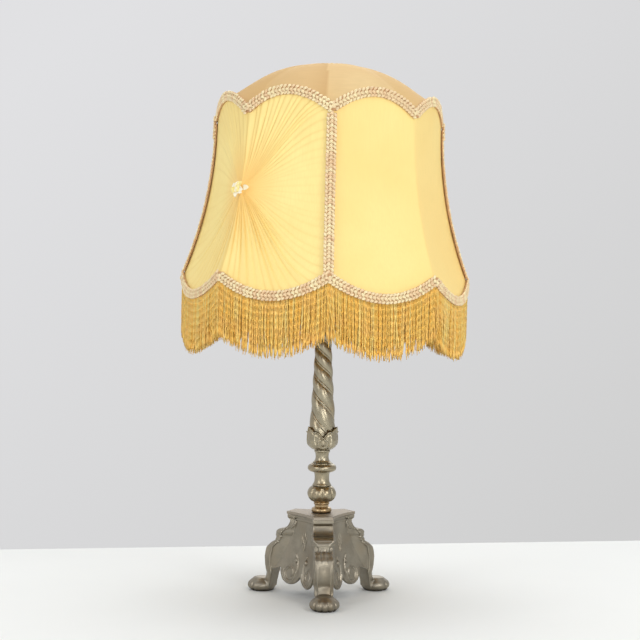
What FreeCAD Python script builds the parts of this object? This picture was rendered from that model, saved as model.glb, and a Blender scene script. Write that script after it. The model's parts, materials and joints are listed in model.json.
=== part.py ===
import FreeCAD, Part
import math
import os
from types import SimpleNamespace

import Sketcher
from FreeCAD import Placement, Rotation, Vector

# A candlestick lamp: a tripod base with paw feet, a turned and twisted stem, and a fringed,
# braided silk shade on a wire frame. Millimetres; the origin is on the stem's axis at floor
# level, +Z is up, and the front leg points to -Y, turned a little towards +X.

sizes = {
    # tripod base
    "base_turn": 3.3, "plate_top": 110.0, "plate_thick": 3.5,
    "corner_reach": 45.0, "corner_half": 12.5, "plate_hollow": 5.0,
    "cap_reach": 43.5, "waist_reach": 39.5, "waist_rise": 98.0, "leaf_reach": 61.5,
    "leaf_rise": 80.0, "knee_reach": 79.5, "knee_rise": 46.0, "ankle_reach": 77.0,
    "ankle_rise": 27.0, "ankle_thick": 11.0, "strap_half": 13.9, "roll_half": 6.3,
    "knee_half": 11.6, "ankle_half": 8.0, "web_half": 12.3, "relief_rise": 2.5,
    "paw_reach": 88.0, "paw_half": 17.5, "paw_rise": 18.0, "toe_size": 6.4, "toe_ring": 13.8,
    "panel_thick": 4.5, "panel_inset": 25.0, "panel_flare": 14.85, "panel_curve": 120.0,
    "lobe_drop": 15.5, "lobe_place": 21.0, "cusp_rise": 27.5, "notch_place": 39.0,
    "notch_rise": 36.0, "bush_rise": 44.0, "bush_bore": 3.6, "bush_outer": 5.0,
    # stem, from the plate upwards
    "rod_outer": 4.95, "rod_bore": 3.6, "rod_hole": 5.05, "rod_top": 412.0, "nut_across": 8.6,
    "collar_bead": 13.4, "neck_slim": 9.2, "knop_rise": 125.0, "knop_tall": 20.4,
    "knop_end": 11.8, "knop_belly": 19.7, "knop_depth": 0.09, "neck_tall": 18.4,
    "ring_belly": 18.9, "ring_tall": 12.0, "upper_tall": 16.7, "cup_tall": 30.0,
    "cup_foot": 11.8, "cup_lip": 20.5, "column_foot": 17.6, "column_head": 9.3,
    "column_tall": 175.0, "strand_depth": 0.15, "strand_slope": 0.70, "pan_reach": 21.0,
    # lampholder and bulb
    "holder_outer": 18.5, "holder_wall": 1.2, "sleeve_outer": 19.8, "thread_shell": 14.2,
    "shade_ring": 28.0, "spindle": 2.0, "spindle_rise": 430.0, "key_reach": 32.0,
    "bulb_outer": 30.0, "bulb_rise": 535.0, "bulb_glass": 1.0,
    # shade
    "shade_turn": 1.04, "shade_lean": 0.87, "shade_shift": 2.3, "seat_rise": 473.0,
    "seat_outer": 53.0, "seat_inner": 47.0,
    "hem_reach": 187.0, "hem_rise": 417.4, "hem_drop": 24.6, "head_reach": 147.5,
    "head_rise": 623.0, "head_arch": 23.2, "flare_power": 2.1, "cloth": 1.0,
    "crown_rise": 697.0, "crown_hole": 12.0, "braid_wide": 14.0, "braid_thick": 3.0,
    "fringe_long": 72.5, "fringe_thick": 3.6, "wire": 1.75, "thin_wire": 1.5,
    "rosette_rise": 525.0, "rosette_wide": 9.0,
}

doc = FreeCAD.newDocument("candlestick_lamp")
sheet = doc.addObject("Spreadsheet::Sheet", "Sizes")
for row, (alias, value) in enumerate(sizes.items(), start=1):
    sheet.set("A%d" % row, alias)
    sheet.set("B%d" % row, str(value))
    sheet.setAlias("B%d" % row, alias)
doc.recompute()


class Size:
    # a number together with the sheet expression that it comes from
    def __init__(self, value, text):
        self.value = float(value)
        self.text = text

    def __float__(self):
        return self.value

    def __add__(self, other):
        return Size(self.value + float(other), "(%s + %s)" % (self.text, textOf(other)))

    def __sub__(self, other):
        return Size(self.value - float(other), "(%s - %s)" % (self.text, textOf(other)))

    def __mul__(self, other):
        return Size(self.value * float(other), "(%s * %s)" % (self.text, textOf(other)))

    def __truediv__(self, other):
        return Size(self.value / float(other), "(%s / %s)" % (self.text, textOf(other)))

    def __neg__(self):
        return Size(-self.value, "(-1 * %s)" % self.text)


def textOf(number):
    return number.text if isinstance(number, Size) else "%.6f" % number


def sized(number):
    return number if isinstance(number, Size) else Size(number, textOf(number))


d = SimpleNamespace(**{alias: Size(value, "Sizes." + alias) for alias, value in sizes.items()})
n = SimpleNamespace(**sizes)
nodes = []


def keep(part):
    nodes.append(part)
    return part


def newBody(name):
    body = doc.addObject("PartDesign::Body", name)
    body.Label = name
    return body


def sketchOn(body, role, name):
    sketch = body.newObject("Sketcher::SketchObject", name)
    plane = next(item for item in body.Origin.OriginFeatures if item.Role == role)
    sketch.AttachmentSupport = [(plane, "")]
    sketch.MapMode = "FlatFace"
    return sketch


def bindRules(sketch, rules):
    # adds the constraints, and binds each value that comes from the sheet
    first = sketch.ConstraintCount
    sketch.addConstraint([rule for rule, _ in rules])
    for index, (_, number) in enumerate(rules, start=first):
        if isinstance(number, Size) and "Sizes." in number.text:
            sketch.setExpression("Constraints[%d]" % index, number.text)


def placeRules(geometry, end, x, y):
    rules = []
    for kind, axis, number in (("DistanceX", -2, x), ("DistanceY", -1, y)):
        if float(number) == 0:
            rules.append((Sketcher.Constraint("PointOnObject", geometry, end, axis), None))
        else:
            rule = Sketcher.Constraint(kind, -1, 1, geometry, end, float(number))
            rules.append((rule, number))
    return rules


def outline(sketch, points):
    # closed outline of lines and arcs; a third value is how far an arc to the next point
    # stands out of its chord, to the right of the way there
    count = len(points)
    shapes, heads, rules = [], [], []
    for index, point in enumerate(points):
        a = Vector(float(point[0]), float(point[1]), 0)
        after = points[(index + 1) % count]
        b = Vector(float(after[0]), float(after[1]), 0)
        rise = float(point[2]) if len(point) > 2 else 0.0
        heads.append(2 if rise < 0 else 1)
        if rise == 0:
            shapes.append(Part.LineSegment(a, b))
            continue
        chord = b - a
        radius = (chord.Length ** 2 / 4 + rise ** 2) / (2 * abs(rise))
        side = Vector(chord.y, -chord.x, 0).normalize()
        centre = (a + b) / 2 + side * (rise - math.copysign(radius, rise))
        start, stop = (a, b) if rise > 0 else (b, a)
        first = math.atan2(start.y - centre.y, start.x - centre.x)
        last = math.atan2(stop.y - centre.y, stop.x - centre.x)
        if last < first:
            last += 2 * math.pi
        circle = Part.Circle(centre, Vector(0, 0, 1), radius)
        shapes.append(Part.ArcOfCircle(circle, first, last))
        dx, dy = sized(after[0]) - point[0], sized(after[1]) - point[1]
        high = sized(point[2]) if rise > 0 else -sized(point[2])
        bend = ((dx * dx + dy * dy) / 4 + high * high) / (high * 2)
        rules.append((Sketcher.Constraint("Radius", index, float(bend)), bend))
    sketch.addGeometry(shapes, False)
    for index, point in enumerate(points):
        after = (index + 1) % count
        tail = 3 - heads[index]
        rules.append((Sketcher.Constraint("Coincident", index, tail, after, heads[after]), None))
        rules.extend(placeRules(index, heads[index], point[0], point[1]))
    rules.sort(key=lambda item: item[1] is not None)
    bindRules(sketch, rules)


def circleIn(sketch, radius, x=0.0, y=0.0):
    centre = Vector(float(x), float(y), 0)
    index = sketch.addGeometry(Part.Circle(centre, Vector(0, 0, 1), float(radius)), False)
    rules = placeRules(index, 3, x, y)
    rules.append((Sketcher.Constraint("Radius", index, float(radius)), radius))
    bindRules(sketch, rules)


def turnedBody(name, points):
    # body of revolution about the stem's axis from an outline of (radius, height)
    body = newBody(name)
    sketch = sketchOn(body, "XZ_Plane", name + "_profile")
    outline(sketch, points)
    turn = body.newObject("PartDesign::Revolution", name + "_turn")
    turn.Profile = sketch
    turn.ReferenceAxis = (sketch, ["V_Axis"])
    turn.Angle = 360
    return body


def turned(name, points):
    return keep(turnedBody(name, points))


def tube(name, inner, outer, low, high):
    return turned(name, [(inner, low), (outer, low), (outer, high), (inner, high)])


def padded(name, role, points, half):
    # straight bar of the outline, half of its width on each side of the plane
    body = newBody(name)
    sketch = sketchOn(body, role, name + "_outline")
    outline(sketch, points)
    pad = body.newObject("PartDesign::Pad", name + "_pad")
    pad.Profile = sketch
    pad.Midplane = True
    pad.Length = 2 * float(half)
    if isinstance(half, Size):
        pad.setExpression("Length", (half * 2).text)
    return body


def primitive(kind, name, **values):
    # Part primitive whose sizes are bound to the sheet
    part = doc.addObject(kind, name)
    for key, number in values.items():
        setattr(part, key, float(number))
        if isinstance(number, Size):
            part.setExpression(key, number.text)
    return part


def combined(kind, name, parts):
    part = doc.addObject(kind, name)
    if kind == "Part::Cut":
        part.Base, part.Tool = parts
    else:
        part.Shapes = parts
    part.Label = name
    return part


def formed(name, shape, placement=None):
    part = doc.addObject("Part::Feature", name)
    part.Label = name
    part.Shape = shape
    part.Placement = placement or Placement()
    return keep(part)


def turnTo(part, expression, angle):
    part.Placement = Placement(Vector(), Rotation(Vector(0, 0, 1), angle))
    part.setExpression("Placement.Rotation.Angle", expression)


def steps(low, high, count):
    return [low + (high - low) * index / (count - 1) for index in range(count)]


def bezier(points, t):
    weights = ((1 - t) ** 3, 3 * t * (1 - t) ** 2, 3 * t * t * (1 - t), t ** 3)
    return [sum(w * point[axis] for w, point in zip(weights, points)) for axis in (0, 1)]


def polar(radius, degrees, height):
    # degrees from the front, -Y, towards +X
    angle = math.radians(degrees - 90)
    return Vector(radius * math.cos(angle), radius * math.sin(angle), height)


# ---- shapes from formula surfaces

def patch(point, across, along):
    # smooth surface through point(u, v) on a grid of the two lists
    surface = Part.BSplineSurface()
    surface.interpolate([[point(u, v) for v in along] for u in across])
    return surface


def closedSolid(faces):
    shell = Part.Shell(faces)
    shell.sewShape()
    solid = Part.Solid(shell)
    if solid.Volume < 0:
        solid.reverse()
    return solid


def edgeOf(surface, side):
    low_u, high_u, low_v, high_v = surface.bounds()
    curve = {
        "start": lambda: surface.uIso(low_u), "end": lambda: surface.uIso(high_u),
        "low": lambda: surface.vIso(low_v), "high": lambda: surface.vIso(high_v),
    }[side]()
    return curve.toShape()


def wallSolid(outer, inner, closed=False, ends=("low", "high")):
    # wall between two rows of neighbouring surfaces
    faces = [surface.toShape() for surface in outer + inner]
    for near, far in zip(outer, inner):
        faces += [Part.makeRuledSurface(edgeOf(near, side), edgeOf(far, side)) for side in ends]
    if not closed:
        for near, far, side in ((outer[0], inner[0], "start"), (outer[-1], inner[-1], "end")):
            faces.append(Part.makeRuledSurface(edgeOf(near, side), edgeOf(far, side)))
    return closedSolid(faces)


def lobedSolid(point, lobes, along, across=7):
    # solid round the axis, from lobe to lobe, with flat ends; point(lobe share, v)
    surfaces = []
    for lobe in range(lobes):
        shares = [(lobe + share) / lobes for share in steps(0, 1, across)]
        surfaces.append(patch(point, shares, along))
    faces = [surface.toShape() for surface in surfaces]
    for side in ("low", "high"):
        faces.append(Part.Face(Part.Wire([edgeOf(surface, side) for surface in surfaces])))
    return closedSolid(faces)


def bored(shape, radius):
    box = shape.BoundBox
    return shape.cut(Part.makeCylinder(radius, box.ZLength + 2, Vector(0, 0, box.ZMin - 1)))


def wireRod(point, count, radius, side):
    # round wire through point(t) for t from 0 to 1, in a plane square to the side
    spots = [point(t) for t in steps(0, 1, count)]
    rings = []
    for index, spot in enumerate(spots):
        way = spots[min(count - 1, index + 1)] - spots[max(0, index - 1)]
        ring = Part.Circle(Vector(), Vector(0, 0, 1), radius).toShape()
        ring.Placement = Placement(spot, Rotation(side, Vector(), way, "ZXY"))
        rings.append(Part.Wire(ring))
    return Part.makeLoft(rings, True, False)


def arcRod(a, middle, b, radius):
    path = Part.Arc(a, middle, b)
    way = path.tangent(path.FirstParameter)[0]
    disc = Part.Face(Part.Wire(Part.makeCircle(radius, a, way)))
    return Part.Wire(path.toShape()).makePipe(disc)


# ---- tripod base

leg_names = ("leg_front", "leg_right", "leg_left")
leg_turns = (0, 120, 240)


def sideProfile(inset=0.0):
    # S-shaped bar from the plate down to the ankle, in the leg's own plane; its outer side
    # moves in by the inset
    plate = d.plate_top - d.plate_thick
    inner = [
        (d.cap_reach - 13, plate), (d.waist_reach - 13, d.waist_rise),
        (d.leaf_reach - 22, d.leaf_rise, 1.5), (d.knee_reach - 24, d.knee_rise + 4, 2),
        (d.ankle_reach - d.ankle_thick, d.ankle_rise + 4), (d.ankle_reach - 5, 5.0),
    ]
    outer = [
        (d.ankle_reach + 5, 5.0), (d.ankle_reach, d.ankle_rise, 2.2),
        (d.knee_reach - 3.5, d.knee_rise + 13.5, 0.8), (d.leaf_reach - 1, d.leaf_rise - 10, -1.0),
        (d.leaf_reach - 1.5, d.leaf_rise - 3), (d.leaf_reach, d.leaf_rise, 2.4),
        (d.leaf_reach - 13, d.leaf_rise + 6.5, -1.8), (d.waist_reach, d.waist_rise, -0.5),
        (d.cap_reach, plate - 5), (d.cap_reach, plate),
    ]
    return inner + [(x - inset, *rest) for x, *rest in outer]


def frontOutline():
    # widths of the strap, the bead roll, the knee and the ankle, seen from outside
    plate = d.plate_top - d.plate_thick
    right = [
        (d.ankle_half + 1, 4.0), (d.ankle_half, d.ankle_rise - 5, -0.4),
        (d.knee_half - 0.6, d.knee_rise, 1.0), (d.knee_half, d.leaf_rise - 16, 0.6),
        (d.roll_half, d.leaf_rise - 12), (d.roll_half, d.leaf_rise - 6.5),
        (d.strap_half - 2.5, d.leaf_rise - 4, 1.2), (d.strap_half, d.leaf_rise + 5, 0.6),
        (d.strap_half - 1.5, plate - 5.5), (d.strap_half, plate - 4.5), (d.strap_half, plate),
    ]
    left = [(-x, z) for x, z, *_ in reversed(right)]
    for index, point in enumerate(right[:-1]):
        if len(point) > 2:
            mirrored = len(right) - 2 - index
            left[mirrored] = left[mirrored] + (point[2],)
    return right + left


def makePaw(name):
    reach, half, rise = d.paw_reach, d.paw_half, d.paw_rise
    bun = turnedBody(name + "_bun", [
        (0.0, 0.0), (half * 0.72, 0.0, 1.2), (half, rise * 0.42, 1.6),
        (half * 0.62, rise * 0.94, 0.6), (0.0, rise),
    ])
    bun.Placement = Placement(Vector(n.paw_reach, 0, 0), Rotation())
    bun.setExpression("Placement.Base.x", reach.text)
    parts = [bun]
    for index, angle in enumerate((-72, -36, 0, 36, 72)):
        toe = primitive("Part::Sphere", "%s_toe%d" % (name, index), Radius=d.toe_size)
        along, across = math.cos(math.radians(angle)), math.sin(math.radians(angle))
        spot = (reach + d.toe_ring * along, d.toe_ring * across, d.toe_size + 0.6)
        toe.Placement = Placement(Vector(*[float(value) for value in spot]), Rotation())
        for axis, value in zip("xyz", spot):
            toe.setExpression("Placement.Base." + axis, value.text)
        parts.append(toe)
    return parts


def makeLeg(name, turn):
    web = padded(name + "_web", "XZ_Plane", sideProfile(d.relief_rise), d.web_half)
    relief = padded(name + "_relief", "XZ_Plane", sideProfile(), d.strap_half + 2)
    front = padded(name + "_front", "YZ_Plane", frontOutline(), d.paw_reach + 20)
    outer = combined("Part::MultiCommon", name + "_outer", [relief, front])
    leg = combined("Part::MultiFuse", name, [web, outer] + makePaw(name))
    angle = n.base_turn - 90 + turn
    turnTo(leg, "Sizes.base_turn + %d" % (turn - 90), angle)
    return keep(leg)


def makePlate():
    # three cut corners over the legs, joined by hollow edges
    body = newBody("base_top_plate")
    sketch = sketchOn(body, "XY_Plane", "plate_outline")
    sketch.AttachmentOffset = Placement(Vector(0, 0, n.plate_top), Rotation())
    sketch.setExpression("AttachmentOffset.Base.z", d.plate_top.text)
    points = []
    for turn in leg_turns:
        angle = math.radians(turn - 90)
        for side in (-1, 1):
            x = d.corner_reach * math.cos(angle) - d.corner_half * side * math.sin(angle)
            y = d.corner_reach * math.sin(angle) + d.corner_half * side * math.cos(angle)
            points.append((x, y) if side < 0 else (x, y, -d.plate_hollow))
    outline(sketch, points)
    circleIn(sketch, d.rod_hole)
    pad = body.newObject("PartDesign::Pad", "plate_pad")
    pad.Profile = sketch
    pad.Length = n.plate_thick
    pad.setExpression("Length", d.plate_thick.text)
    pad.Reversed = True
    turnTo(body, d.base_turn.text, n.base_turn)
    return keep(body)


def panelOut(across, height):
    # distance of a panel's face from the axis
    share = (n.plate_top - height) / n.plate_top
    return n.panel_inset + n.panel_flare * share ** 2 + across ** 2 / (2 * n.panel_curve)


def legReach(height):
    # outside of the leg at a height, where the panel has to stay behind it
    marks = ((106.5, n.cap_reach), (n.waist_rise, n.waist_reach), (86.5, 48.0),
             (78.0, n.leaf_reach - 2), (68.0, n.leaf_reach), (58.0, 74.0),
             (n.knee_rise, n.knee_reach), (30.0, n.ankle_reach))
    for (high, far), (low, near) in zip(marks, marks[1:]):
        if low <= height <= high:
            return near + (far - near) * (height - low) / (high - low)
    return n.ankle_reach


def makePanel(name, turn, legs, with_bush=False):
    # curved plate between two legs, with two lobes and a cusp along its lower edge
    top = n.plate_top - n.plate_thick
    across, upward = steps(-70, 70, 9), steps(5, top, 7)
    outer = patch(lambda c, z: Vector(panelOut(c, z), c, z), across, upward)
    inner = patch(lambda c, z: Vector(panelOut(c, z) - n.panel_thick, c, z), across, upward)
    blank = wallSolid([outer], [inner])
    edge = []
    for height in (top, n.waist_rise, 86.5, 78.0, 68.0, 58.0, n.knee_rise, n.notch_rise - 3):
        guess = 40.0
        for _ in range(20):
            room = legReach(height) - 3.0 - 0.5 * panelOut(guess, height)
            guess = room / math.sin(math.radians(60))
        edge.append(Vector(0, guess, height))
    edge.append(Vector(0, n.notch_place + 10, n.notch_rise - 4))
    notch = Vector(0, n.notch_place, n.notch_rise)
    lobe = Vector(0, n.lobe_place, n.lobe_drop)
    cusp = Vector(0, 0, n.cusp_rise)
    outside = Vector(0, n.notch_place - 5, n.lobe_drop + 5.5)
    inside = Vector(0, n.lobe_place * 0.33, n.lobe_drop + 4.5)
    half = [Part.LineSegment(a, b).toShape() for a, b in zip(edge, edge[1:] + [notch])]
    half += [Part.Arc(notch, outside, lobe).toShape(), Part.Arc(lobe, inside, cusp).toShape()]
    other = [line.mirror(Vector(), Vector(0, 1, 0)) for line in half]
    roof = Part.LineSegment(edge[0], Vector(0, -edge[0].y, edge[0].z)).toShape()
    wire = Part.Wire(Part.__sortEdges__(half + other + [roof]))
    prism = Part.Face(wire).extrude(Vector(80, 0, 0))
    shape = blank.common(prism)
    if with_bush:
        hole = Part.makeCylinder(n.bush_outer, 90, Vector(0, 0, n.bush_rise), Vector(1, 0, 0))
        face = Vector(panelOut(0, n.bush_rise) + 0.55, 0, n.bush_rise)
        spot = Part.makeCylinder(n.bush_outer + 2.4, 20, face, Vector(1, 0, 0))
        shape = shape.cut([hole, spot])
    shape.rotate(Vector(), Vector(0, 0, 1), n.base_turn - 90 + turn)
    for leg in legs:
        shape = shape.cut(leg.Shape)
    shape = max(shape.Solids, key=lambda solid: solid.Volume)
    return formed(name, shape)


def makeBush(turn):
    # flanged bush that lines the cord's way through the rear panel
    face = panelOut(0, n.bush_rise) + 0.6
    far, bore = d.bush_outer - 0.05, d.bush_bore
    bush = turnedBody("cord_bush", [
        (bore, -9.6), (far, -9.6), (far, 0.0), (far + 2.2, 0.0), (far + 2.2, 1.2, 0.3),
        (far + 1.0, 2.4), (bore + 0.8, 2.4, -0.2), (bore, 1.4),
    ])
    angle = n.base_turn - 90 + turn
    spot = Rotation(Vector(0, 0, 1), angle).multVec(Vector(face, 0, n.bush_rise))
    turn = Rotation(Vector(0, 0, 1), angle) * Rotation(Vector(0, 1, 0), 90)
    bush.Placement = Placement(spot, turn)
    return keep(bush)


legs = {name: makeLeg(name, turn) for name, turn in zip(leg_names, leg_turns)}
makePlate()
doc.recompute()
makePanel("side_panel_right", 60, [legs["leg_front"], legs["leg_right"]])
makePanel("side_panel_rear", 180, [legs["leg_right"], legs["leg_left"]], with_bush=True)
makePanel("side_panel_left", 300, [legs["leg_left"], legs["leg_front"]])
makeBush(180)

# ---- stem: pieces threaded on a hollow rod and drawn together by a nut under the plate

under = d.plate_top - d.plate_thick
tube("stem_rod", d.rod_bore, d.rod_outer, under - 8, d.rod_top)
tube("rod_washer", d.rod_hole, d.rod_hole + 6, under - 1.5, under)
hexagon = primitive("Part::Prism", "nut_hexagon", Circumradius=d.nut_across, Height=4.5)
thread = primitive("Part::Cylinder", "nut_thread", Radius=d.rod_hole, Height=8)
for piece in (hexagon, thread):
    low = under - 6 if piece is hexagon else under - 7
    piece.Placement = Placement(Vector(0, 0, float(low)), Rotation())
    piece.setExpression("Placement.Base.z", low.text)
keep(combined("Part::Cut", "rod_nut", [hexagon, thread]))

base = d.plate_top
turned("base_collar", [
    (d.rod_hole, base), (d.collar_bead - 2.4, base, 2.4), (d.collar_bead - 2.4, base + 7),
    (d.neck_slim, base + 8), (d.neck_slim, base + 10.5), (d.neck_slim + 0.8, base + 11.2, 0.4),
    (d.neck_slim + 0.8, base + 13.6), (d.knop_end - 0.4, d.knop_rise), (d.rod_hole, d.knop_rise),
])


def lobedPoint(profile, lobes, depth, phase=0.0):
    # round a profile(t) of (radius, height), cut in by depth between the lobes
    def point(share, t):
        radius, height = profile(t)
        ridge = math.cos(math.pi * lobes * share) ** 2
        swell = 1 - depth(t) * ridge ** 2
        return polar(radius * swell, 360 * share + phase, height)
    return point


def knopProfile(t):
    belly = (n.knop_belly - n.knop_end) * math.sin(math.pi * t) ** 0.8
    return n.knop_end + belly, n.knop_rise + n.knop_tall * t


def cupProfile(t):
    foot = n.knop_rise + n.knop_tall + n.neck_tall + n.ring_tall + n.upper_tall
    curve = ((n.cup_foot, 0), (22.5, 4), (18.5, 20), (n.cup_lip, n.cup_tall))
    radius, rise = bezier(curve, t)
    return radius, foot + rise


def columnRadius(height):
    share = (height - column_low) / n.column_tall
    return n.column_head + (n.column_foot - n.column_head) * (1 - share) ** 1.5


def columnTwist(height):
    # the strands climb at one slope, so they turn faster where the column is slim
    count = 60
    span = (height - column_low) / count
    turn = sum(span / columnRadius(column_low + span * (index + 0.5)) for index in range(count))
    return math.degrees(turn / n.strand_slope)


knop = lobedPoint(knopProfile, 8, lambda t: n.knop_depth * math.sin(math.pi * t))
formed("gadrooned_knop", bored(lobedSolid(knop, 8, steps(0, 1, 9)), n.rod_hole))
neck = d.knop_rise + d.knop_tall
turned("lower_neck", [
    (d.rod_hole, neck), (d.knop_end + 1.2, neck, 0.3), (d.knop_end + 1.2, neck + 2, -0.7),
    (d.neck_slim + 1.2, neck + 9.5), (d.neck_slim + 1.2, neck + 13.8),
    (d.neck_slim + 2, neck + 15, 0.4), (d.neck_slim + 2, neck + 17),
    (d.neck_slim + 1.4, neck + d.neck_tall), (d.rod_hole, neck + d.neck_tall),
])
ring = neck + d.neck_tall
turned("ring_knop", [
    (d.rod_hole, ring), (d.ring_belly - 5.4, ring, 4.6), (d.ring_belly - 4.6, ring + 9.2),
    (d.ring_belly - 6.0, ring + 9.5), (d.ring_belly - 5.4, ring + 10, 0.8),
    (d.ring_belly - 5.6, ring + d.ring_tall), (d.rod_hole, ring + d.ring_tall),
])
upper = ring + d.ring_tall
turned("upper_neck", [
    (d.rod_hole, upper), (d.neck_slim + 1.2, upper, -0.4), (d.neck_slim, upper + 4),
    (d.neck_slim, upper + 11.8), (d.neck_slim + 1, upper + 12.8, 0.4),
    (d.neck_slim + 1, upper + 15), (d.cup_foot - 0.6, upper + d.upper_tall),
    (d.rod_hole, upper + d.upper_tall),
])
petals = lobedPoint(cupProfile, 6, lambda t: 0.1 * math.sin(math.pi * min(1, 0.15 + t)), 30)
formed("leaf_cup", bored(lobedSolid(petals, 6, steps(0, 1, 9)), n.rod_hole))

column_low = cupProfile(1)[1]


def strandPoint(share, height):
    ridge = abs(math.cos(math.pi * 3 * share))
    swell = 1 - n.strand_depth * ridge ** 3
    return polar(columnRadius(height) * swell, 360 * share - columnTwist(height), height)


column = lobedSolid(strandPoint, 3, steps(column_low, column_low + n.column_tall, 41), across=9)
formed("twisted_column", bored(column, n.rod_hole))
print("column from %.1f to %.1f" % (column_low, column_low + n.column_tall))

pan = ring + d.ring_tall + d.upper_tall + d.cup_tall + d.column_tall
turned("candle_pan", [
    (d.rod_hole, pan), (d.column_head + 1.2, pan), (d.column_head + 1.8, pan + 2, -1.0),
    (d.pan_reach, pan + 6, 0.5), (d.pan_reach, pan + 7.6), (d.column_head + 3, pan + 6.8),
    (d.column_head, pan + 8), (d.rod_hole, pan + 8),
])

# ---- lampholder

holder = pan + 8
wide, wall = d.holder_outer, d.holder_wall
turned("holder_cap", [
    (d.rod_hole, holder), (d.rod_hole + 3.4, holder), (d.rod_hole + 3.4, holder + 3, 1.5),
    (wide, holder + 14), (wide, holder + 18), (wide - wall, holder + 18),
    (wide - wall, holder + 14.4, -1.5), (d.rod_hole + 3, holder + 5), (d.rod_hole, holder + 5),
])
barrel = turnedBody("holder_barrel", [
    (wide - wall, holder + 18), (wide, holder + 18), (wide, holder + 35),
    (wide - wall, holder + 35),
])
doc.recompute()
whole = barrel.Shape.Volume
hole_sketch = sketchOn(barrel, "YZ_Plane", "spindle_hole")
circleIn(hole_sketch, d.spindle + 0.3, 0.0, d.spindle_rise)
hole = barrel.newObject("PartDesign::Pocket", "spindle_pocket")
hole.Profile = hole_sketch
hole.Length = 30
doc.recompute()
beside = Vector(n.holder_outer - 2, 0, n.spindle_rise)
if barrel.Shape.common(Part.makeCylinder(n.spindle, 5, beside, Vector(1, 0, 0))).Volume > 0.01:
    hole.Reversed = True
    doc.recompute()
print("spindle hole takes %.2f mm3" % (whole - barrel.Shape.Volume))
keep(barrel)

core = holder + 31
turned("porcelain_core", [
    (d.spindle + 2.2, core), (wide - wall, core), (wide - wall, core + 4),
    (d.spindle + 2.2, core + 4),
])
turned("centre_contact", [
    (0.0, core - 1), (d.spindle + 2, core - 1), (d.spindle + 2, core + 4.4, 0.15),
    (1.0, core + 5.2), (0.0, core + 5.2),
])
terminals = []
for index, side in enumerate((-1, 1)):
    post = primitive("Part::Cylinder", "terminal_%d" % index, Radius=2.2, Height=4.2)
    post.Placement = Placement(Vector(0, side * 11, float(core) - 4.2), Rotation())
    post.setExpression("Placement.Base.z", (core - 4.2).text)
    terminals.append(post)
compound = doc.addObject("Part::Compound", "terminal_posts")
compound.Links = terminals
compound.Label = "terminal_posts"
keep(compound)
sleeve = holder + 35
tube("threaded_sleeve", d.sleeve_outer - 1.6, d.sleeve_outer, sleeve, sleeve + 26)
tube("screw_shell", d.thread_shell - 0.6, d.thread_shell, sleeve, sleeve + 22)
clamp = sleeve + 6
turned("lower_shade_ring", [
    (d.sleeve_outer + 0.1, clamp - 5), (d.shade_ring, clamp - 5), (d.shade_ring, clamp - 1, 0.2),
    (d.shade_ring - 1, clamp), (d.sleeve_outer + 0.1, clamp),
])
turned("upper_shade_ring", [
    (d.sleeve_outer + 0.1, clamp + 2.9), (d.shade_ring - 4.6, clamp + 2.9, 0.2),
    (d.shade_ring - 4, clamp + 3.5), (d.shade_ring - 4, clamp + 7.5),
    (d.sleeve_outer + 0.1, clamp + 7.5),
])

# ---- turn key of the switch, on its own body

spindle = primitive("Part::Cylinder", "key_spindle", Radius=d.spindle, Height=d.key_reach - 8)
cam = primitive("Part::Cylinder", "key_cam", Radius=4, Height=5)
grip = primitive("Part::Cylinder", "key_grip", Radius=7.5, Height=2.6)
lying, standing = Rotation(Vector(0, 1, 0), 90), Rotation(Vector(1, 0, 0), 90)
for piece, x, y, turn in ((spindle, 8.0, 0.0, lying), (cam, 8.0, 0.0, lying),
                          (grip, n.key_reach + 4, 1.3, standing)):
    piece.Placement = Placement(Vector(x, y, n.spindle_rise), turn)
    piece.setExpression("Placement.Base.z", d.spindle_rise.text)
keep(combined("Part::MultiFuse", "switch_key", [spindle, cam, grip]))

# ---- bulb

foot = sleeve + 1.2
turned("bulb_contact", [(0.0, foot), (4.5, foot), (4.5, foot + 2), (0.0, foot + 2)])
turned("bulb_cap", [
    (0.0, foot + 2), (9.0, foot + 2), (13.2, foot + 5.5), (13.2, foot + 26), (12.4, foot + 26),
    (12.4, foot + 6.2), (0.0, foot + 6.2),
])
# the ball's arc runs from the neck, 120 degrees from the top, up to a small flat tip
tip = math.radians(5)
arc_rise = 1 - math.cos((math.radians(120) - tip) / 2)
ball, hollow = d.bulb_outer, d.bulb_outer - d.bulb_glass


def ballPoint(radius, angle):
    return radius * math.sin(angle), d.bulb_rise + radius * math.cos(angle)


neck_angle = math.radians(120)
turned("bulb_glass", [
    (11.0, foot + 12), (12.1, foot + 12), (12.1, foot + 26.2), (15.0, foot + 38, -1.2),
    (*ballPoint(ball, neck_angle), ball * arc_rise), ballPoint(ball, tip),
    (0.0, d.bulb_rise + ball * math.cos(tip)), (0.0, d.bulb_rise + hollow * math.cos(tip)),
    (*ballPoint(hollow, tip), -hollow * arc_rise), (*ballPoint(hollow, neck_angle), -1.2),
    (14.0, foot + 38), (11.0, foot + 27),
])
turned("filament_mount", [
    (0.0, foot + 12.5), (8.0, foot + 12.5), (8.0, foot + 16), (3.4, foot + 24), (2.2, foot + 62),
    (0.0, foot + 64),
])

# ---- carrier that the shade rests on: a clamped ring, three arms and a flat upper ring

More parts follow.
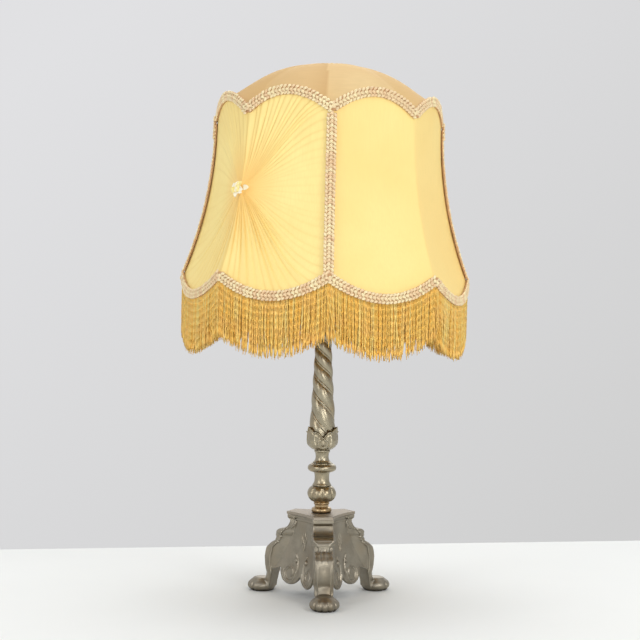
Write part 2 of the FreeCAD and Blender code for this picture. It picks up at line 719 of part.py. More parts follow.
carrier_low = clamp + 0.3
seat = d.seat_rise - 3.4
tube_low = turnedBody("carrier_low_ring", [
    (d.sleeve_outer + 0.4, carrier_low), (d.shade_ring - 0.5, carrier_low),
    (d.shade_ring - 0.5, carrier_low + 2.3), (d.sleeve_outer + 0.4, carrier_low + 2.3),
])
tube_high = turnedBody("carrier_high_ring", [
    (d.seat_inner, seat), (d.seat_outer, seat), (d.seat_outer, seat + 2), (d.seat_inner, seat + 2),
])
arms = []
arm_from = Vector(n.shade_ring - 1.6, 0, float(carrier_low) + 1.2)
arm_to = Vector(n.seat_inner + 1, 0, float(seat) + 1.0)
for index in range(3):
    arm = primitive("Part::Cylinder", "carrier_arm%d" % index, Radius=d.thin_wire,
                    Height=(arm_to - arm_from).Length)
    turn = Rotation(Vector(0, 0, 1), 120 * index + 30)
    lean = Rotation(Vector(0, 0, 1), arm_to - arm_from)
    arm.Placement = Placement(turn.multVec(arm_from), turn * lean)
    arms.append(arm)
keep(combined("Part::MultiFuse", "shade_carrier", [tube_low, tube_high] + arms))

# ---- shade: its own frame leans a little, as it sits on the carrier

leaning = Placement(Vector(n.shade_shift, 0, n.seat_rise),
                    Rotation(Vector(0, 1, 0), n.shade_lean))
turning = Placement(Vector(0, 0, -n.seat_rise), Rotation(Vector(0, 0, 1), n.shade_turn))
shade_place = leaning * turning
sector = 45.0
height = n.head_rise - n.hem_rise


def shaded(name, shape):
    return formed(name, shape, shade_place)


def bow(degrees):
    # 0 on a rib, 1 half way to the next
    share = (degrees % sector) / sector
    return 4 * share * (1 - share)


def plan(degrees, rib, fullness):
    # radius between two ribs: fullness 0 is a straight chord, 1 is a circle
    off = math.radians(degrees % sector - sector / 2)
    chord = math.cos(math.radians(sector / 2)) / math.cos(off)
    return rib * (chord * (1 - fullness) + fullness)


def sideRadius(degrees, share):
    # share 0 is the upper ring, 1 the lower one
    rib = n.head_reach + (n.hem_reach - n.head_reach) * max(0.0, share) ** n.flare_power
    return plan(degrees, rib, 0.08 + 0.50 * (2 * share - 1) ** 2)


def headHeight(degrees):
    return n.head_rise + n.head_arch * bow(degrees)


def hemHeight(degrees):
    return n.hem_rise - n.hem_drop * bow(degrees)


def sidePoint(degrees, share, out=0.0):
    # point of the covers, from the arched upper edge down to the scalloped lower one
    high, low = headHeight(degrees), hemHeight(degrees)
    level = high + (low - high) * share
    reach = sideRadius(degrees, share) + out
    return polar(reach, degrees, level)


def headPoint(degrees, rise, out):
    return polar(sideRadius(degrees, 0) + out, degrees, headHeight(degrees) + rise)


def hemPoint(degrees, rise, out):
    return polar(sideRadius(degrees, 1) + out, degrees, hemHeight(degrees) + rise)


def domePoint(degrees, t, sink=0.0):
    # from the arched ring in to the crown; ribs run lower than the middles of the gores
    rim = sideRadius(degrees, 0) - n.cloth - 0.4
    rib = ((rim, n.head_rise), (120, 650), (85, n.crown_rise), (n.crown_hole, n.crown_rise))
    gore = ((rim, n.head_rise + n.head_arch), (112, 658), (88, n.crown_rise),
            (n.crown_hole, n.crown_rise))
    low, high = bezier(rib, t), bezier(gore, t)
    part = bow(degrees)
    reach = low[0] + (high[0] - low[0]) * part
    level = low[1] + (high[1] - low[1]) * part
    return polar(reach, degrees, level - sink)


def facets(first, count):
    return [(first + sector * index, first + sector * (index + 1)) for index in range(count)]


def rows(point, spans, along, across=9, **extra):
    surfaces = []
    for span in spans:
        angles = steps(span[0], span[1], across)
        surfaces.append(patch(lambda u, v: point(u, v, **extra), angles, along))
    return surfaces


quarters = (("front_left", -90), ("front_right", 0), ("rear_right", 90), ("rear_left", 180))
down = steps(0, 1, 11)
for name, first in quarters:
    spans = facets(first, 2)
    cover = wallSolid(rows(sidePoint, spans, down), rows(sidePoint, spans, down, out=-n.cloth))
    shaded("cover_" + name, cover)

around = facets(0, 8)
inward = steps(0, 1, 9)
dome = rows(domePoint, around, inward)
lining = rows(domePoint, around, inward, sink=n.cloth)
shaded("crown_cover", wallSolid(dome, lining, closed=True))
button_low = Vector(0, 0, n.crown_rise - n.cloth)
shaded("crown_button", Part.makeCylinder(n.crown_hole - 0.2, n.cloth + 1.6, button_low))


def band(point, low, high, back, front):
    # closed band that follows one of the rings
    levels = [low, high]
    outer = rows(lambda u, v: point(u, v, front), around, levels)
    inner = rows(lambda u, v: point(u, v, back), around, levels)
    return wallSolid(outer, inner, closed=True)


half = n.braid_wide / 2
shaded("head_braid", band(headPoint, -half, half, 0.4, n.braid_thick + 0.4))
shaded("hem_braid", band(hemPoint, -half, half, 0.4, n.braid_thick + 0.4))
skirt = band(hemPoint, -n.fringe_long, -0.4, -n.fringe_thick + 0.2, 0.2)
shaded("fringe_skirt", skirt)


def ribPoint(share):
    # a rib's line, seen in its own plane: reach and height
    reach = n.head_reach + (n.hem_reach - n.head_reach) * share ** n.flare_power
    return reach, n.head_rise - height * share


def ribBraid(degrees):
    # flat braid along a rib, between the two ring braids
    way = polar(1, degrees, 0)
    side = Vector(-way.y, way.x, 0)

    def point(u, v, out):
        reach, level = ribPoint(v)
        return way * (reach + out - abs(u) * 0.16) + side * u + Vector(0, 0, level)
    across, along = [-half, half], steps(0.045, 0.955, 9)
    outer = [patch(lambda u, v: point(u, v, 2.9), across, along)]
    inner = [patch(lambda u, v: point(u, v, 1.4), across, along)]
    return wallSolid(outer, inner)


shaded("rib_braids", Part.makeCompound([ribBraid(angle) for angle in (0, 90, 180, 270)]))


def ribWire(degrees):
    spots = []
    for share in (0.02, 0.5, 0.97):
        reach, level = ribPoint(share)
        spots.append(polar(reach - n.cloth - n.wire - 0.5, degrees, level))
    return arcRod(*spots, n.wire)


def domeWire(degrees):
    def point(t):
        spot = domePoint(degrees, 0.06 + 0.86 * t)
        return spot - Vector(0, 0, n.cloth + n.thin_wire + 1.2)
    return wireRod(point, 7, n.thin_wire, polar(1, degrees + 90, 0))


def ringWires(reach, level, middle, middle_level):
    rods = []
    for index in range(8):
        low, high = sector * index + 0.9, sector * (index + 1) - 0.9
        rods.append(arcRod(polar(reach, low, level), polar(middle, (low + high) / 2, middle_level),
                           polar(reach, high, level), n.wire))
    return Part.makeCompound(rods)


inset = n.cloth + n.wire + 0.6
shaded("rib_wires", Part.makeCompound([ribWire(sector * index) for index in range(8)]))
shaded("dome_wires", Part.makeCompound([domeWire(sector * index) for index in range(8)]))
shaded("hem_ring", ringWires(n.hem_reach - inset - 3.8, n.hem_rise + 2.2,
                             sideRadius(sector / 2, 1) - inset - 3.8, n.hem_rise - n.hem_drop + 2.2))
shaded("head_ring", ringWires(n.head_reach - inset - 3.8, n.head_rise - 3.0,
                              sideRadius(sector / 2, 0) - inset - 3.8, n.head_rise + n.head_arch - 3.4))
crown_ring = Part.makeTorus(20, n.wire, Vector(0, 0, n.crown_rise - n.cloth - 8.5))
shaded("crown_ring", crown_ring)

seat_ring = Part.makeCylinder(n.seat_outer, 2, Vector(0, 0, n.seat_rise)).cut(
    Part.makeCylinder(n.seat_inner, 6, Vector(0, 0, n.seat_rise - 2)))
spoke_share = 0.60
spokes = []
for index in range(4):
    reach, level = ribPoint(spoke_share)
    inner_end = polar(n.seat_outer - 1.5, 90 * index, n.seat_rise + 1.0)
    outer_end = polar(reach - inset - n.wire, 90 * index, level)
    way = outer_end - inner_end
    spokes.append(Part.makeCylinder(n.wire, way.Length, inner_end, way))
shaded("seat_ring", seat_ring.multiFuse(spokes))


def rosette(degrees):
    # gathered ribbon rosette on a crease, with a button in its middle
    reach, level = ribPoint((n.head_rise - n.rosette_rise) / height)
    wide = n.rosette_wide
    petals = [Part.makeCylinder(wide * 0.42, 2.6, polar(wide * 0.52, 72 * index, 0))
              for index in range(5)]
    flower = petals[0].multiFuse(petals[1:] + [Part.makeCylinder(wide * 0.4, 4.0)])
    flower = flower.removeSplitter()
    way = polar(1, degrees, 0)
    flower.Placement = Placement(polar(reach + 1.9, degrees, level), Rotation(Vector(0, 0, 1), way))
    return flower


for name, degrees in (("rosette_front", -45), ("rosette_rear", 135)):
    shaded(name, Part.makeCompound([rosette(degrees)]))

# ---- checks and files

doc.recompute()
for part in doc.Objects:
    if {"Invalid", "Error"} & set(part.State):
        raise RuntimeError("%s is %s" % (part.Label, part.State))
os.makedirs("parts", exist_ok=True)
for part in nodes:
    shape = part.Shape
    if shape.isNull() or not shape.isValid() or not shape.Solids:
        raise RuntimeError("%s has no sound solid" % part.Label)
    if any(solid.Volume <= 0 for solid in shape.Solids):
        raise RuntimeError("%s is inside out" % part.Label)
    shape.exportStep("parts/%s.step" % part.Label)
print("%d nodes" % len(nodes))
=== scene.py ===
import json
import math
import random

import bpy
import numpy as np
from mathutils import Matrix, Vector, noise


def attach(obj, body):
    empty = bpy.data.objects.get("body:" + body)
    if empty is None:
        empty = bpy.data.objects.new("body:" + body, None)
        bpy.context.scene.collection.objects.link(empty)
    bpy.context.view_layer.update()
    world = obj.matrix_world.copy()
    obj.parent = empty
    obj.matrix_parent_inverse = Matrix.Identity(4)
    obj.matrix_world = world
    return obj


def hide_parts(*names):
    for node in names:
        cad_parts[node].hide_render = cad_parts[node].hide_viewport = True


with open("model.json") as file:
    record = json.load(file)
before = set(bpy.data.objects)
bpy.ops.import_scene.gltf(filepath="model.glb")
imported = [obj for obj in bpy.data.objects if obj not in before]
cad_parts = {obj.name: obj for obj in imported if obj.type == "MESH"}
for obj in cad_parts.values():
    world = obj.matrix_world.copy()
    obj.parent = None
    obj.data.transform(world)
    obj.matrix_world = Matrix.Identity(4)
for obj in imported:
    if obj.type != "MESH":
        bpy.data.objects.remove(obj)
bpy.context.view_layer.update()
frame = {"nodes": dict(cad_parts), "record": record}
mm = 0.001


# selection, meshes and modifiers

def clearSelection():
    if bpy.context.object and bpy.context.object.mode != "OBJECT":
        bpy.ops.object.mode_set(mode="OBJECT")
    bpy.ops.object.select_all(action="DESELECT")


def makeActive(obj):
    clearSelection()
    obj.select_set(True)
    bpy.context.view_layer.objects.active = obj


def nameLast(name):
    obj = bpy.context.object
    obj.name = name
    obj.data.name = name
    return obj


def addModifier(obj, kind, **settings):
    # added and applied at once
    makeActive(obj)
    modifier = obj.modifiers.new(kind.lower(), kind)
    for key, value in settings.items():
        setattr(modifier, key, value)
    bpy.ops.object.modifier_apply(modifier=modifier.name)


def editWhole(obj, action):
    makeActive(obj)
    bpy.ops.object.mode_set(mode="EDIT")
    bpy.ops.mesh.select_all(action="SELECT")
    action()
    bpy.ops.object.mode_set(mode="OBJECT")


def mergeDoubles(obj):
    editWhole(obj, lambda: bpy.ops.mesh.remove_doubles(threshold=0.01 * mm))


def faceOutwards(obj):
    editWhole(obj, lambda: bpy.ops.mesh.normals_make_consistent(inside=False))


def smoothShade(obj, degrees):
    makeActive(obj)
    bpy.ops.object.shade_smooth_by_angle(angle=math.radians(degrees))


def gridPiece(name, across, along, place):
    # a grid whose points go to place(u, v), in millimetres, with u and v from 0 to 1
    clearSelection()
    bpy.ops.mesh.primitive_grid_add(x_subdivisions=across, y_subdivisions=along, size=1)
    obj = nameLast(name)
    for point in obj.data.vertices:
        point.co = place(round(point.co.x + 0.5, 5), round(point.co.y + 0.5, 5)) * mm
    return obj


def meshPiece(name, points, faces, corners=None):
    # a mesh of points in metres; corners are the two map values of each corner of each face
    data = bpy.data.meshes.new(name)
    data.from_pydata(points, [], faces)
    if corners is not None:
        data.uv_layers.new(name="UVMap").data.foreach_set("uv", corners)
    obj = bpy.data.objects.new(name, data)
    bpy.context.scene.collection.objects.link(obj)
    return obj


def tag(obj, name, values):
    # a number for each point, or one for all of them, for the materials to read
    layer = obj.data.attributes.new(name, "FLOAT", "POINT")
    layer.data.foreach_set("value", np.full(len(obj.data.vertices), values))


def readPoints(collection, item):
    values = np.empty(len(collection) * 3)
    collection.foreach_get(item, values)
    return values.reshape(-1, 3)


def joinPieces(name, pieces):
    makeActive(pieces[0])
    for piece in pieces[1:]:
        piece.select_set(True)
    bpy.ops.object.join()
    return nameLast(name)


def finishPiece(obj, body, material, node):
    obj.data.materials.clear()
    obj.data.materials.append(material)
    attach(obj, body)
    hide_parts(node)


def smoothStep(low, high, value):
    share = min(1.0, max(0.0, (value - low) / (high - low)))
    return share * share * (3 - 2 * share)


def mix(a, b, share):
    return a + (b - a) * share


def fade(low, high, values):
    # smooth 0 to 1 for arrays, falling where low is above high
    share = np.clip((values - low) / (high - low), 0, 1)
    return share * share * (3 - 2 * share)


def ridge(distance, width):
    return np.exp(-(distance / width) ** 2)


def polar(radius, degrees, height):
    # degrees from the front, -Y, towards +X
    angle = math.radians(degrees - 90)
    return Vector((radius * math.cos(angle), radius * math.sin(angle), height))


# colours and materials

def tone(red, green, blue):
    # a colour as seen on a screen, 0 to 255, in the renderer's own linear values
    values = [channel / 255 for channel in (red, green, blue)]
    return tuple(((v + 0.055) / 1.055) ** 2.4 if v > 0.04045 else v / 12.92 for v in values) + (1,)


def newMaterial(name, roughness=0.5, metallic=0.0, **sockets):
    material = bpy.data.materials.new(name)
    material.use_nodes = True
    shader = material.node_tree.nodes["Principled BSDF"]
    shader.inputs["Roughness"].default_value = roughness
    shader.inputs["Metallic"].default_value = metallic
    for key, value in sockets.items():
        shader.inputs[key.replace("_", " ")].default_value = value
    return material, material.node_tree, shader


def addNode(tree, kind, inputs=None, **settings):
    node = tree.nodes.new("ShaderNode" + kind)
    for key, value in settings.items():
        setattr(node, key, value)
    for key, value in (inputs or {}).items():
        if isinstance(value, bpy.types.NodeSocket):
            tree.links.new(value, node.inputs[key])
        else:
            node.inputs[key].default_value = value
    return node


def blendColour(tree, share, first, second, kind="MIX"):
    node = addNode(tree, "Mix", data_type="RGBA", blend_type=kind)
    for socket, value in (("Factor_Float", share), ("A_Color", first), ("B_Color", second)):
        target = next(item for item in node.inputs if item.identifier == socket)
        if isinstance(value, bpy.types.NodeSocket):
            tree.links.new(value, target)
        else:
            target.default_value = value
    return next(item for item in node.outputs if item.identifier == "Result_Color")


def mathNode(tree, operation, first, second):
    return addNode(tree, "Math", {0: first, 1: second}, operation=operation).outputs[0]


def ramp(tree, value, low, high):
    node = addNode(tree, "MapRange", {"Value": value, "From Min": low, "From Max": high})
    return node.outputs["Result"]


def stretched(tree, scale, source="Object", turn=(0, 0, 0)):
    coordinates = addNode(tree, "TexCoord")
    mapping = addNode(tree, "Mapping", {"Vector": coordinates.outputs[source], "Scale": scale,
                                        "Rotation": turn})
    return mapping.outputs["Vector"]


def noiseValue(tree, vector, scale, detail, roughness=0.5):
    node = addNode(tree, "TexNoise", {"Vector": vector, "Scale": scale, "Detail": detail,
                                      "Roughness": roughness})
    return node.outputs["Fac"]


def mixShaders(tree, share, first, second, surface):
    mixed = addNode(tree, "MixShader", {0: share, 1: first.outputs[0], 2: second.outputs[0]})
    tree.links.new(mixed.outputs[0], surface)


def addBump(tree, shader, height, strength, distance):
    bump = addNode(tree, "Bump", {"Height": height, "Strength": strength, "Distance": distance})
    tree.links.new(bump.outputs["Normal"], shader.inputs["Normal"])


def spreadRoughness(tree, shader, spots, spread, least):
    rough = mathNode(tree, "ADD", mathNode(tree, "MULTIPLY", spots, spread), least)
    tree.links.new(rough, shader.inputs["Roughness"])


def attributeValue(tree, name):
    return addNode(tree, "Attribute", attribute_name=name).outputs["Fac"]


def castMetal(name, bright, dull, dark, roughness, gold=None, cavity=5 * mm):
    # worn casting: dull on the flats, bright on the edges, and dark in the hollows with painted
    # shade taken from occlusion
    grain = 70
    material, tree, shader = newMaterial(name, metallic=1.0)
    place = stretched(tree, (1, 1, 1))
    clouds = ramp(tree, noiseValue(tree, place, grain, 5, 0.6), 0.3, 0.75)
    colour = blendColour(tree, mathNode(tree, "MULTIPLY", clouds, 0.3), dull, bright)
    if gold:
        patches = ramp(tree, noiseValue(tree, place, grain * 0.5, 3), 0.48, 0.75)
        colour = blendColour(tree, mathNode(tree, "MULTIPLY", patches, 0.6), colour, gold)
    # painted shade: the dark colour goes where the hollows are occluded
    hollowShade = addNode(tree, "AmbientOcclusion", {"Distance": cavity}, samples=6).outputs["AO"]
    colour = blendColour(tree, ramp(tree, hollowShade, 0.3, 0.85), dark, colour)
    edges = ramp(tree, addNode(tree, "NewGeometry").outputs["Pointiness"], 0.52, 0.6)
    colour = blendColour(tree, mathNode(tree, "MULTIPLY", edges, 0.7), colour, bright)
    tree.links.new(colour, shader.inputs["Base Color"])
    spots = noiseValue(tree, place, grain * 5, 4, 0.7)
    spreadRoughness(tree, shader, spots, 0.22, roughness - 0.08)
    addBump(tree, shader, spots, 0.1, 0.35 * mm)
    return material


def silk(name, base, warm, light, slubs=(70, 70, 5)):
    # thin silk with slubbed threads; the warm share and the fold lines, painted shade with the
    # deeper tone of overlapping silk, come from the mesh
    material, tree, shader = newMaterial(name, 0.62, Sheen_Weight=0.25, Sheen_Roughness=0.5,
                                         Sheen_Tint=light)
    thread = noiseValue(tree, stretched(tree, slubs), 9, 3, 0.6)
    cloud = noiseValue(tree, stretched(tree, (1, 1, 1)), 11, 2)
    colour = blendColour(tree, ramp(tree, cloud, 0.35, 0.65), base, light)
    colour = blendColour(tree, attributeValue(tree, "warmth"), colour, warm)
    threadShare = mathNode(tree, "MULTIPLY", ramp(tree, thread, 0.3, 0.75), 0.35)
    colour = blendColour(tree, threadShare, colour, (*[c * 0.86 for c in base[:3]], 1))
    # deep: a darker, browner silk colour, painted shade in the folds and on the darker gores
    deep = (base[0] * 0.74, base[1] * 0.58, base[2] * 0.34, 1)
    colour = blendColour(tree, attributeValue(tree, "foldShadeAndOverlap"), colour, deep)
    tree.links.new(colour, shader.inputs["Base Color"])
    weave = addNode(tree, "TexWave", {"Vector": stretched(tree, (1, 1, 1)), "Scale": 520.0,
                                      "Distortion": 1.5}, bands_direction="Z").outputs["Fac"]
    addBump(tree, shader, mathNode(tree, "ADD", thread, mathNode(tree, "MULTIPLY", weave, 0.4)),
            0.12, 0.3 * mm)
    return material


def threadMaterial(name, light, middle, dark, shade, stripes, roughness=0.6, tint=None):
    # twisted yarn: slanting stripes of painted shade in the twist on the piece's own map, a tone of
    # its own on each strand
    material, tree, shader = newMaterial(name, roughness, Sheen_Weight=0.3, Sheen_Roughness=0.4,
                                         Sheen_Tint=light)
    place = stretched(tree, (1, stripes, 1), "UV", (0, 0, math.radians(20)))
    wave = addNode(tree, "TexWave", {"Vector": place, "Scale": 1.0, "Distortion": 0.6,
                                     "Detail": 1.0}, bands_direction="DIAGONAL").outputs["Fac"]
    own = attributeValue(tree, "strand")
    colour = blendColour(tree, ramp(tree, own, 0.0, 0.6), dark, middle)
    colour = blendColour(tree, ramp(tree, own, 0.55, 1.0), colour, light)
    if tint:
        clouds = noiseValue(tree, stretched(tree, (1, 1, 1)), 45, 2)
        colour = blendColour(tree, ramp(tree, clouds, 0.45, 0.7), colour, tint)
    # painted shade: the stripes multiply the colour by the shade colour
    colour = blendColour(tree, mathNode(tree, "SUBTRACT", 1.0, wave), colour, shade, "MULTIPLY")
    tree.links.new(colour, shader.inputs["Base Color"])
    addBump(tree, shader, wave, 0.5, 0.4 * mm)
    return material


def plainMaterial(name, colour, other, roughness, bump=0.1, **sockets):
    grain = 60
    material, tree, shader = newMaterial(name, roughness, **sockets)
    place = stretched(tree, (1, 1, 1))
    cloud = noiseValue(tree, place, grain, 4, 0.6)
    tree.links.new(blendColour(tree, ramp(tree, cloud, 0.35, 0.65), colour, other),
                   shader.inputs["Base Color"])
    fine = noiseValue(tree, place, grain * 8, 3)
    spreadRoughness(tree, shader, fine, 0.2, roughness - 0.1)
    addBump(tree, shader, fine, bump, 0.2 * mm)
    return material


bronze = castMetal("aged bronze", tone(210, 202, 184), tone(134, 127, 113), tone(62, 54, 44), 0.36,
                   gold=tone(128, 114, 92))
# a darker, rougher copy of the bronze for the plate's top: its darker colour is painted shade
shadedPlateBronze = castMetal("shaded dull plate bronze", tone(176, 166, 150), tone(112, 102, 94),
                        tone(62, 54, 44), 0.5)
nickel = castMetal("worn nickel", tone(216, 208, 186), tone(154, 145, 123), tone(104, 92, 72), 0.28,
                   gold=tone(150, 130, 98), cavity=3 * mm)
warmBrass = castMetal("warm brass", tone(244, 222, 180), tone(160, 136, 102), tone(92, 72, 50), 0.24,
                      gold=tone(172, 140, 98), cavity=3 * mm)
holderBrass = castMetal("holder brass", tone(214, 186, 128), tone(180, 148, 92), tone(90, 64, 34),
                        0.3)
plated = castMetal("plated steel", tone(190, 190, 190), tone(150, 150, 150), tone(70, 70, 72), 0.34)
wireCream = plainMaterial("cream wire", tone(226, 216, 190), tone(206, 192, 160), 0.5)
porcelain = plainMaterial("porcelain", tone(238, 234, 226), tone(230, 224, 212), 0.22, bump=0.03,
                          Coat_Weight=0.6)
darkPlastic = plainMaterial("dark plastic", tone(48, 34, 26), tone(38, 26, 20), 0.36)
clearGlass = newMaterial("clear glass", 0.03, Transmission_Weight=1.0, IOR=1.45)[0]
glassTree = clearGlass.node_tree
addBump(glassTree, glassTree.nodes["Principled BSDF"],
        noiseValue(glassTree, stretched(glassTree, (1, 1, 1)), 60, 2), 0.03, 0.3 * mm)

sideSilk = silk("side silk", tone(248, 221, 141), tone(250, 207, 124), tone(251, 229, 152))
# the side silk's cream made darker and browner for the crown: painted shade of the dome
shadedCrownSilk = silk("shaded crown silk", tone(204, 172, 116), tone(214, 178, 120), tone(214, 186, 130),
                 (6, 6, 60))
gimp = threadMaterial("gimp yarn", tone(255, 246, 206), tone(250, 234, 196), tone(244, 216, 178),
                      (0.8, 0.68, 0.54, 1), 5)
# brown tape under the yarn: painted shade in the gaps between the grains
gimpGapShade = plainMaterial("gimp gap shade", tone(204, 162, 120), tone(182, 138, 96), 0.9, bump=0.4)
fringeYarn = threadMaterial("fringe yarn", tone(255, 232, 150), tone(255, 212, 110),
                            tone(255, 198, 86), (1.0, 0.92, 0.74, 1), 42, 0.4,
                            tint=tone(255, 206, 112))
creamRibbon = silk("cream ribbon", tone(252, 244, 222), tone(246, 224, 120), tone(255, 250, 236))
print("materials ready")


# the stage: floor, background, lights and camera

stageSettings = {
    "floorHalf": 6.0, "tableEdge": 0.39, "tableEdgeSlope": 0.150, "table": tone(236, 238, 237),
    "wallLight": tone(225, 225, 227), "wallDark": tone(208, 208, 208), "wallAcross": 1.3,
    "wallUp": -1.6, "skyStrength": 0.64,
    "cameraBack": 1.9, "cameraHeight": 0.3918, "focalPixels": 1443.8, "framePixels": 640,
    "axisPixel": 324.0, "horizonPixel": 298.25, "rollDegrees": 0.68, "sensorWidth": 36.0,
}


def wallColour(tree, s, across, up):
    # the paper wall behind, lighter above and to the left: painted light on the wall
    share = 0.5
    for way, slope in ((across, s["wallAcross"]), (up, s["wallUp"])):
        share = addNode(tree, "Math", {0: way, 1: slope, 2: share},
                        operation="MULTIPLY_ADD").outputs[0]
    return blendColour(tree, share, s["wallLight"], s["wallDark"])


def seenShare(tree):
    # 1 where the wall is seen, also through glass or in metal, 0 where it would light things
    path = addNode(tree, "LightPath")
    seen = mathNode(tree, "MAXIMUM", path.outputs["Is Camera Ray"], path.outputs["Is Glossy Ray"])
    return mathNode(tree, "MAXIMUM", seen, path.outputs["Is Transmission Ray"])


def makeFloor(s):
    # the table's paper, which ends some way behind the lamp; past it the wall is seen
    clearSelection()
    bpy.ops.mesh.primitive_plane_add(size=2 * s["floorHalf"])
    floor = nameLast("floor")
    material, tree, shader = newMaterial("floor paper", 0.9)
    place = addNode(tree, "SeparateXYZ",
                    {"Vector": addNode(tree, "TexCoord").outputs["Object"]})
    slope = mathNode(tree, "MULTIPLY", place.outputs["X"], s["tableEdgeSlope"])
    past = mathNode(tree, "SUBTRACT", place.outputs["Y"], slope)
    behind = ramp(tree, past, s["tableEdge"], s["tableEdge"] + 0.004)
    ground = noiseValue(tree, stretched(tree, (1, 1, 1)), 6, 3)
    pale = tuple(c * 0.97 for c in s["table"][:3]) + (1,)
    tree.links.new(blendColour(tree, ground, s["table"], pale), shader.inputs["Base Color"])
    addBump(tree, shader, ground, 0.05, 2 * mm)
    far = mathNode(tree, "ADD", place.outputs["Y"], s["cameraBack"])
    across = mathNode(tree, "DIVIDE", place.outputs["X"], far)
    drop = mathNode(tree, "DIVIDE", -s["cameraHeight"], far)
    glow = addNode(tree, "Emission", {"Color": wallColour(tree, s, across, drop)})
    mixShaders(tree, mathNode(tree, "MULTIPLY", behind, seenShare(tree)), shader, glow,
               tree.nodes["Material Output"].inputs["Surface"])
    floor.data.materials.append(material)


def makeWorld(s):
    # an even light from all round, with the wall where it is seen
    world = bpy.data.worlds.new("studio")
    world.use_nodes = True
    tree = world.node_tree
    sky = tree.nodes["Background"]
    sky.inputs["Color"].default_value = (1, 1, 1, 1)
    sky.inputs["Strength"].default_value = s["skyStrength"]
    way = addNode(tree, "SeparateXYZ",
                  {"Vector": addNode(tree, "TexCoord").outputs["Generated"]})
    paper = addNode(tree, "Background",
                    {"Color": wallColour(tree, s, way.outputs["X"], way.outputs["Z"])})
    mixShaders(tree, seenShare(tree), sky, paper, tree.nodes["World Output"].inputs["Surface"])
    bpy.context.scene.world = world


lampSettings = [
    # name, place, aim, width, height, watts, colour
    ("key", (1.5, -1.9, 1.4), (0, 0, 0.35), 0.8, 1.4, 17.5, (1.0, 0.99, 0.97)),
    ("second", (-1.6, -1.6, 1.2), (0, 0, 0.35), 0.7, 1.3, 9, (1.0, 0.99, 0.98)),
    ("fill", (0.3, -2.5, 0.45), (0, 0, 0.3), 1.0, 0.5, 7.5, (1.0, 0.99, 0.97)),
    ("top", (0.0, 0.3, 2.4), (0, 0, 0.3), 1.6, 1.6, 17, (1.0, 1.0, 1.0)),
    ("back", (0.3, 2.2, 1.3), (0, 0, 0.4), 1.6, 1.2, 9, (1.0, 1.0, 1.0)),
]


def makeLamps(lamps):
    for name, place, aim, width, height, watts, colour in lamps:
        data = bpy.data.lights.new(name, "AREA")
        data.shape = "RECTANGLE"
        data.size, data.size_y, data.energy, data.color = width, height, watts, colour
        lamp = bpy.data.objects.new(name, data)
        lamp.location = place
        lamp.rotation_euler = (Vector(aim) - Vector(place)).to_track_quat("-Z", "Y").to_euler()
        bpy.context.scene.collection.objects.link(lamp)


def makeCamera(s):
    camera = bpy.data.objects.new("camera", bpy.data.cameras.new("camera"))
    camera.data.sensor_width = s["sensorWidth"]
    camera.data.lens = s["sensorWidth"] * s["focalPixels"] / s["framePixels"]
    middle = s["framePixels"] / 2
    camera.data.shift_x = (middle - s["axisPixel"]) / s["framePixels"]
    camera.data.shift_y = (s["horizonPixel"] - middle) / s["framePixels"]
    camera.matrix_world = (Matrix.Translation((0, -s["cameraBack"], s["cameraHeight"]))
                           @ Matrix.Rotation(math.radians(90), 4, "X")
                           @ Matrix.Rotation(math.radians(s["rollDegrees"]), 4, "Z"))
    bpy.context.scene.collection.objects.link(camera)
    bpy.context.scene.camera = camera
    bpy.context.scene.view_settings.view_transform = "Standard"


makeFloor(stageSettings)
makeWorld(stageSettings)
makeLamps(lampSettings)
makeCamera(stageSettings)
print("stage, lamps and camera ready")


# the shade: everything on it is placed in its own upright frame and then leaned a little

shadeForm = {
    "turn": 1.04, "lean": 0.87, "shift": 2.3, "seatRise": 473.0, "hemReach": 187.0,
    "hemRise": 417.4, "hemDrop": 24.6, "headReach": 147.5, "headRise": 623.0, "headArch": 23.2,
    "flarePower": 2.1, "crownRise": 697.0, "crownHole": 12.0, "sectors": 8, "sector": 45.0,
    "cloth": 0.7,
}
shadePlace = (Matrix.Translation((shadeForm["shift"], 0, shadeForm["seatRise"]))
              @ Matrix.Rotation(math.radians(shadeForm["lean"]), 4, "Y")
              @ Matrix.Translation((0, 0, -shadeForm["seatRise"]))
              @ Matrix.Rotation(math.radians(shadeForm["turn"]), 4, "Z"))


def bow(degrees):
    # 0 on a rib, 1 half way to the next
    share = (degrees % shadeForm["sector"]) / shadeForm["sector"]
    return 4 * share * (1 - share)


def ribReach(share):
    # share 0 is the upper ring, 1 the lower one
    f = shadeForm
    return mix(f["headReach"], f["hemReach"], max(0.0, share) ** f["flarePower"])


def sideRadius(degrees, share):
    # between two ribs the cloth is nearly straight
    sector = shadeForm["sector"]
    fullness = 0.08 + 0.50 * (2 * share - 1) ** 2
    off = math.radians(degrees % sector - sector / 2)
    chord = math.cos(math.radians(sector / 2)) / math.cos(off)
    return ribReach(share) * mix(chord, 1.0, fullness)


def headHeight(degrees):
    return shadeForm["headRise"] + shadeForm["headArch"] * bow(degrees)


def hemHeight(degrees):
    return shadeForm["hemRise"] - shadeForm["hemDrop"] * bow(degrees)


def sidePoint(degrees, share, out=0.0):
    level = mix(headHeight(degrees), hemHeight(degrees), share)
    return shadePlace @ polar(sideRadius(degrees, share) + out, degrees, level)


def bezier(points, t):
    weights = ((1 - t) ** 3, 3 * t * (1 - t) ** 2, 3 * t * t * (1 - t), t ** 3)
    return [sum(w * point[axis] for w, point in zip(weights, points)) for axis in (0, 1)]


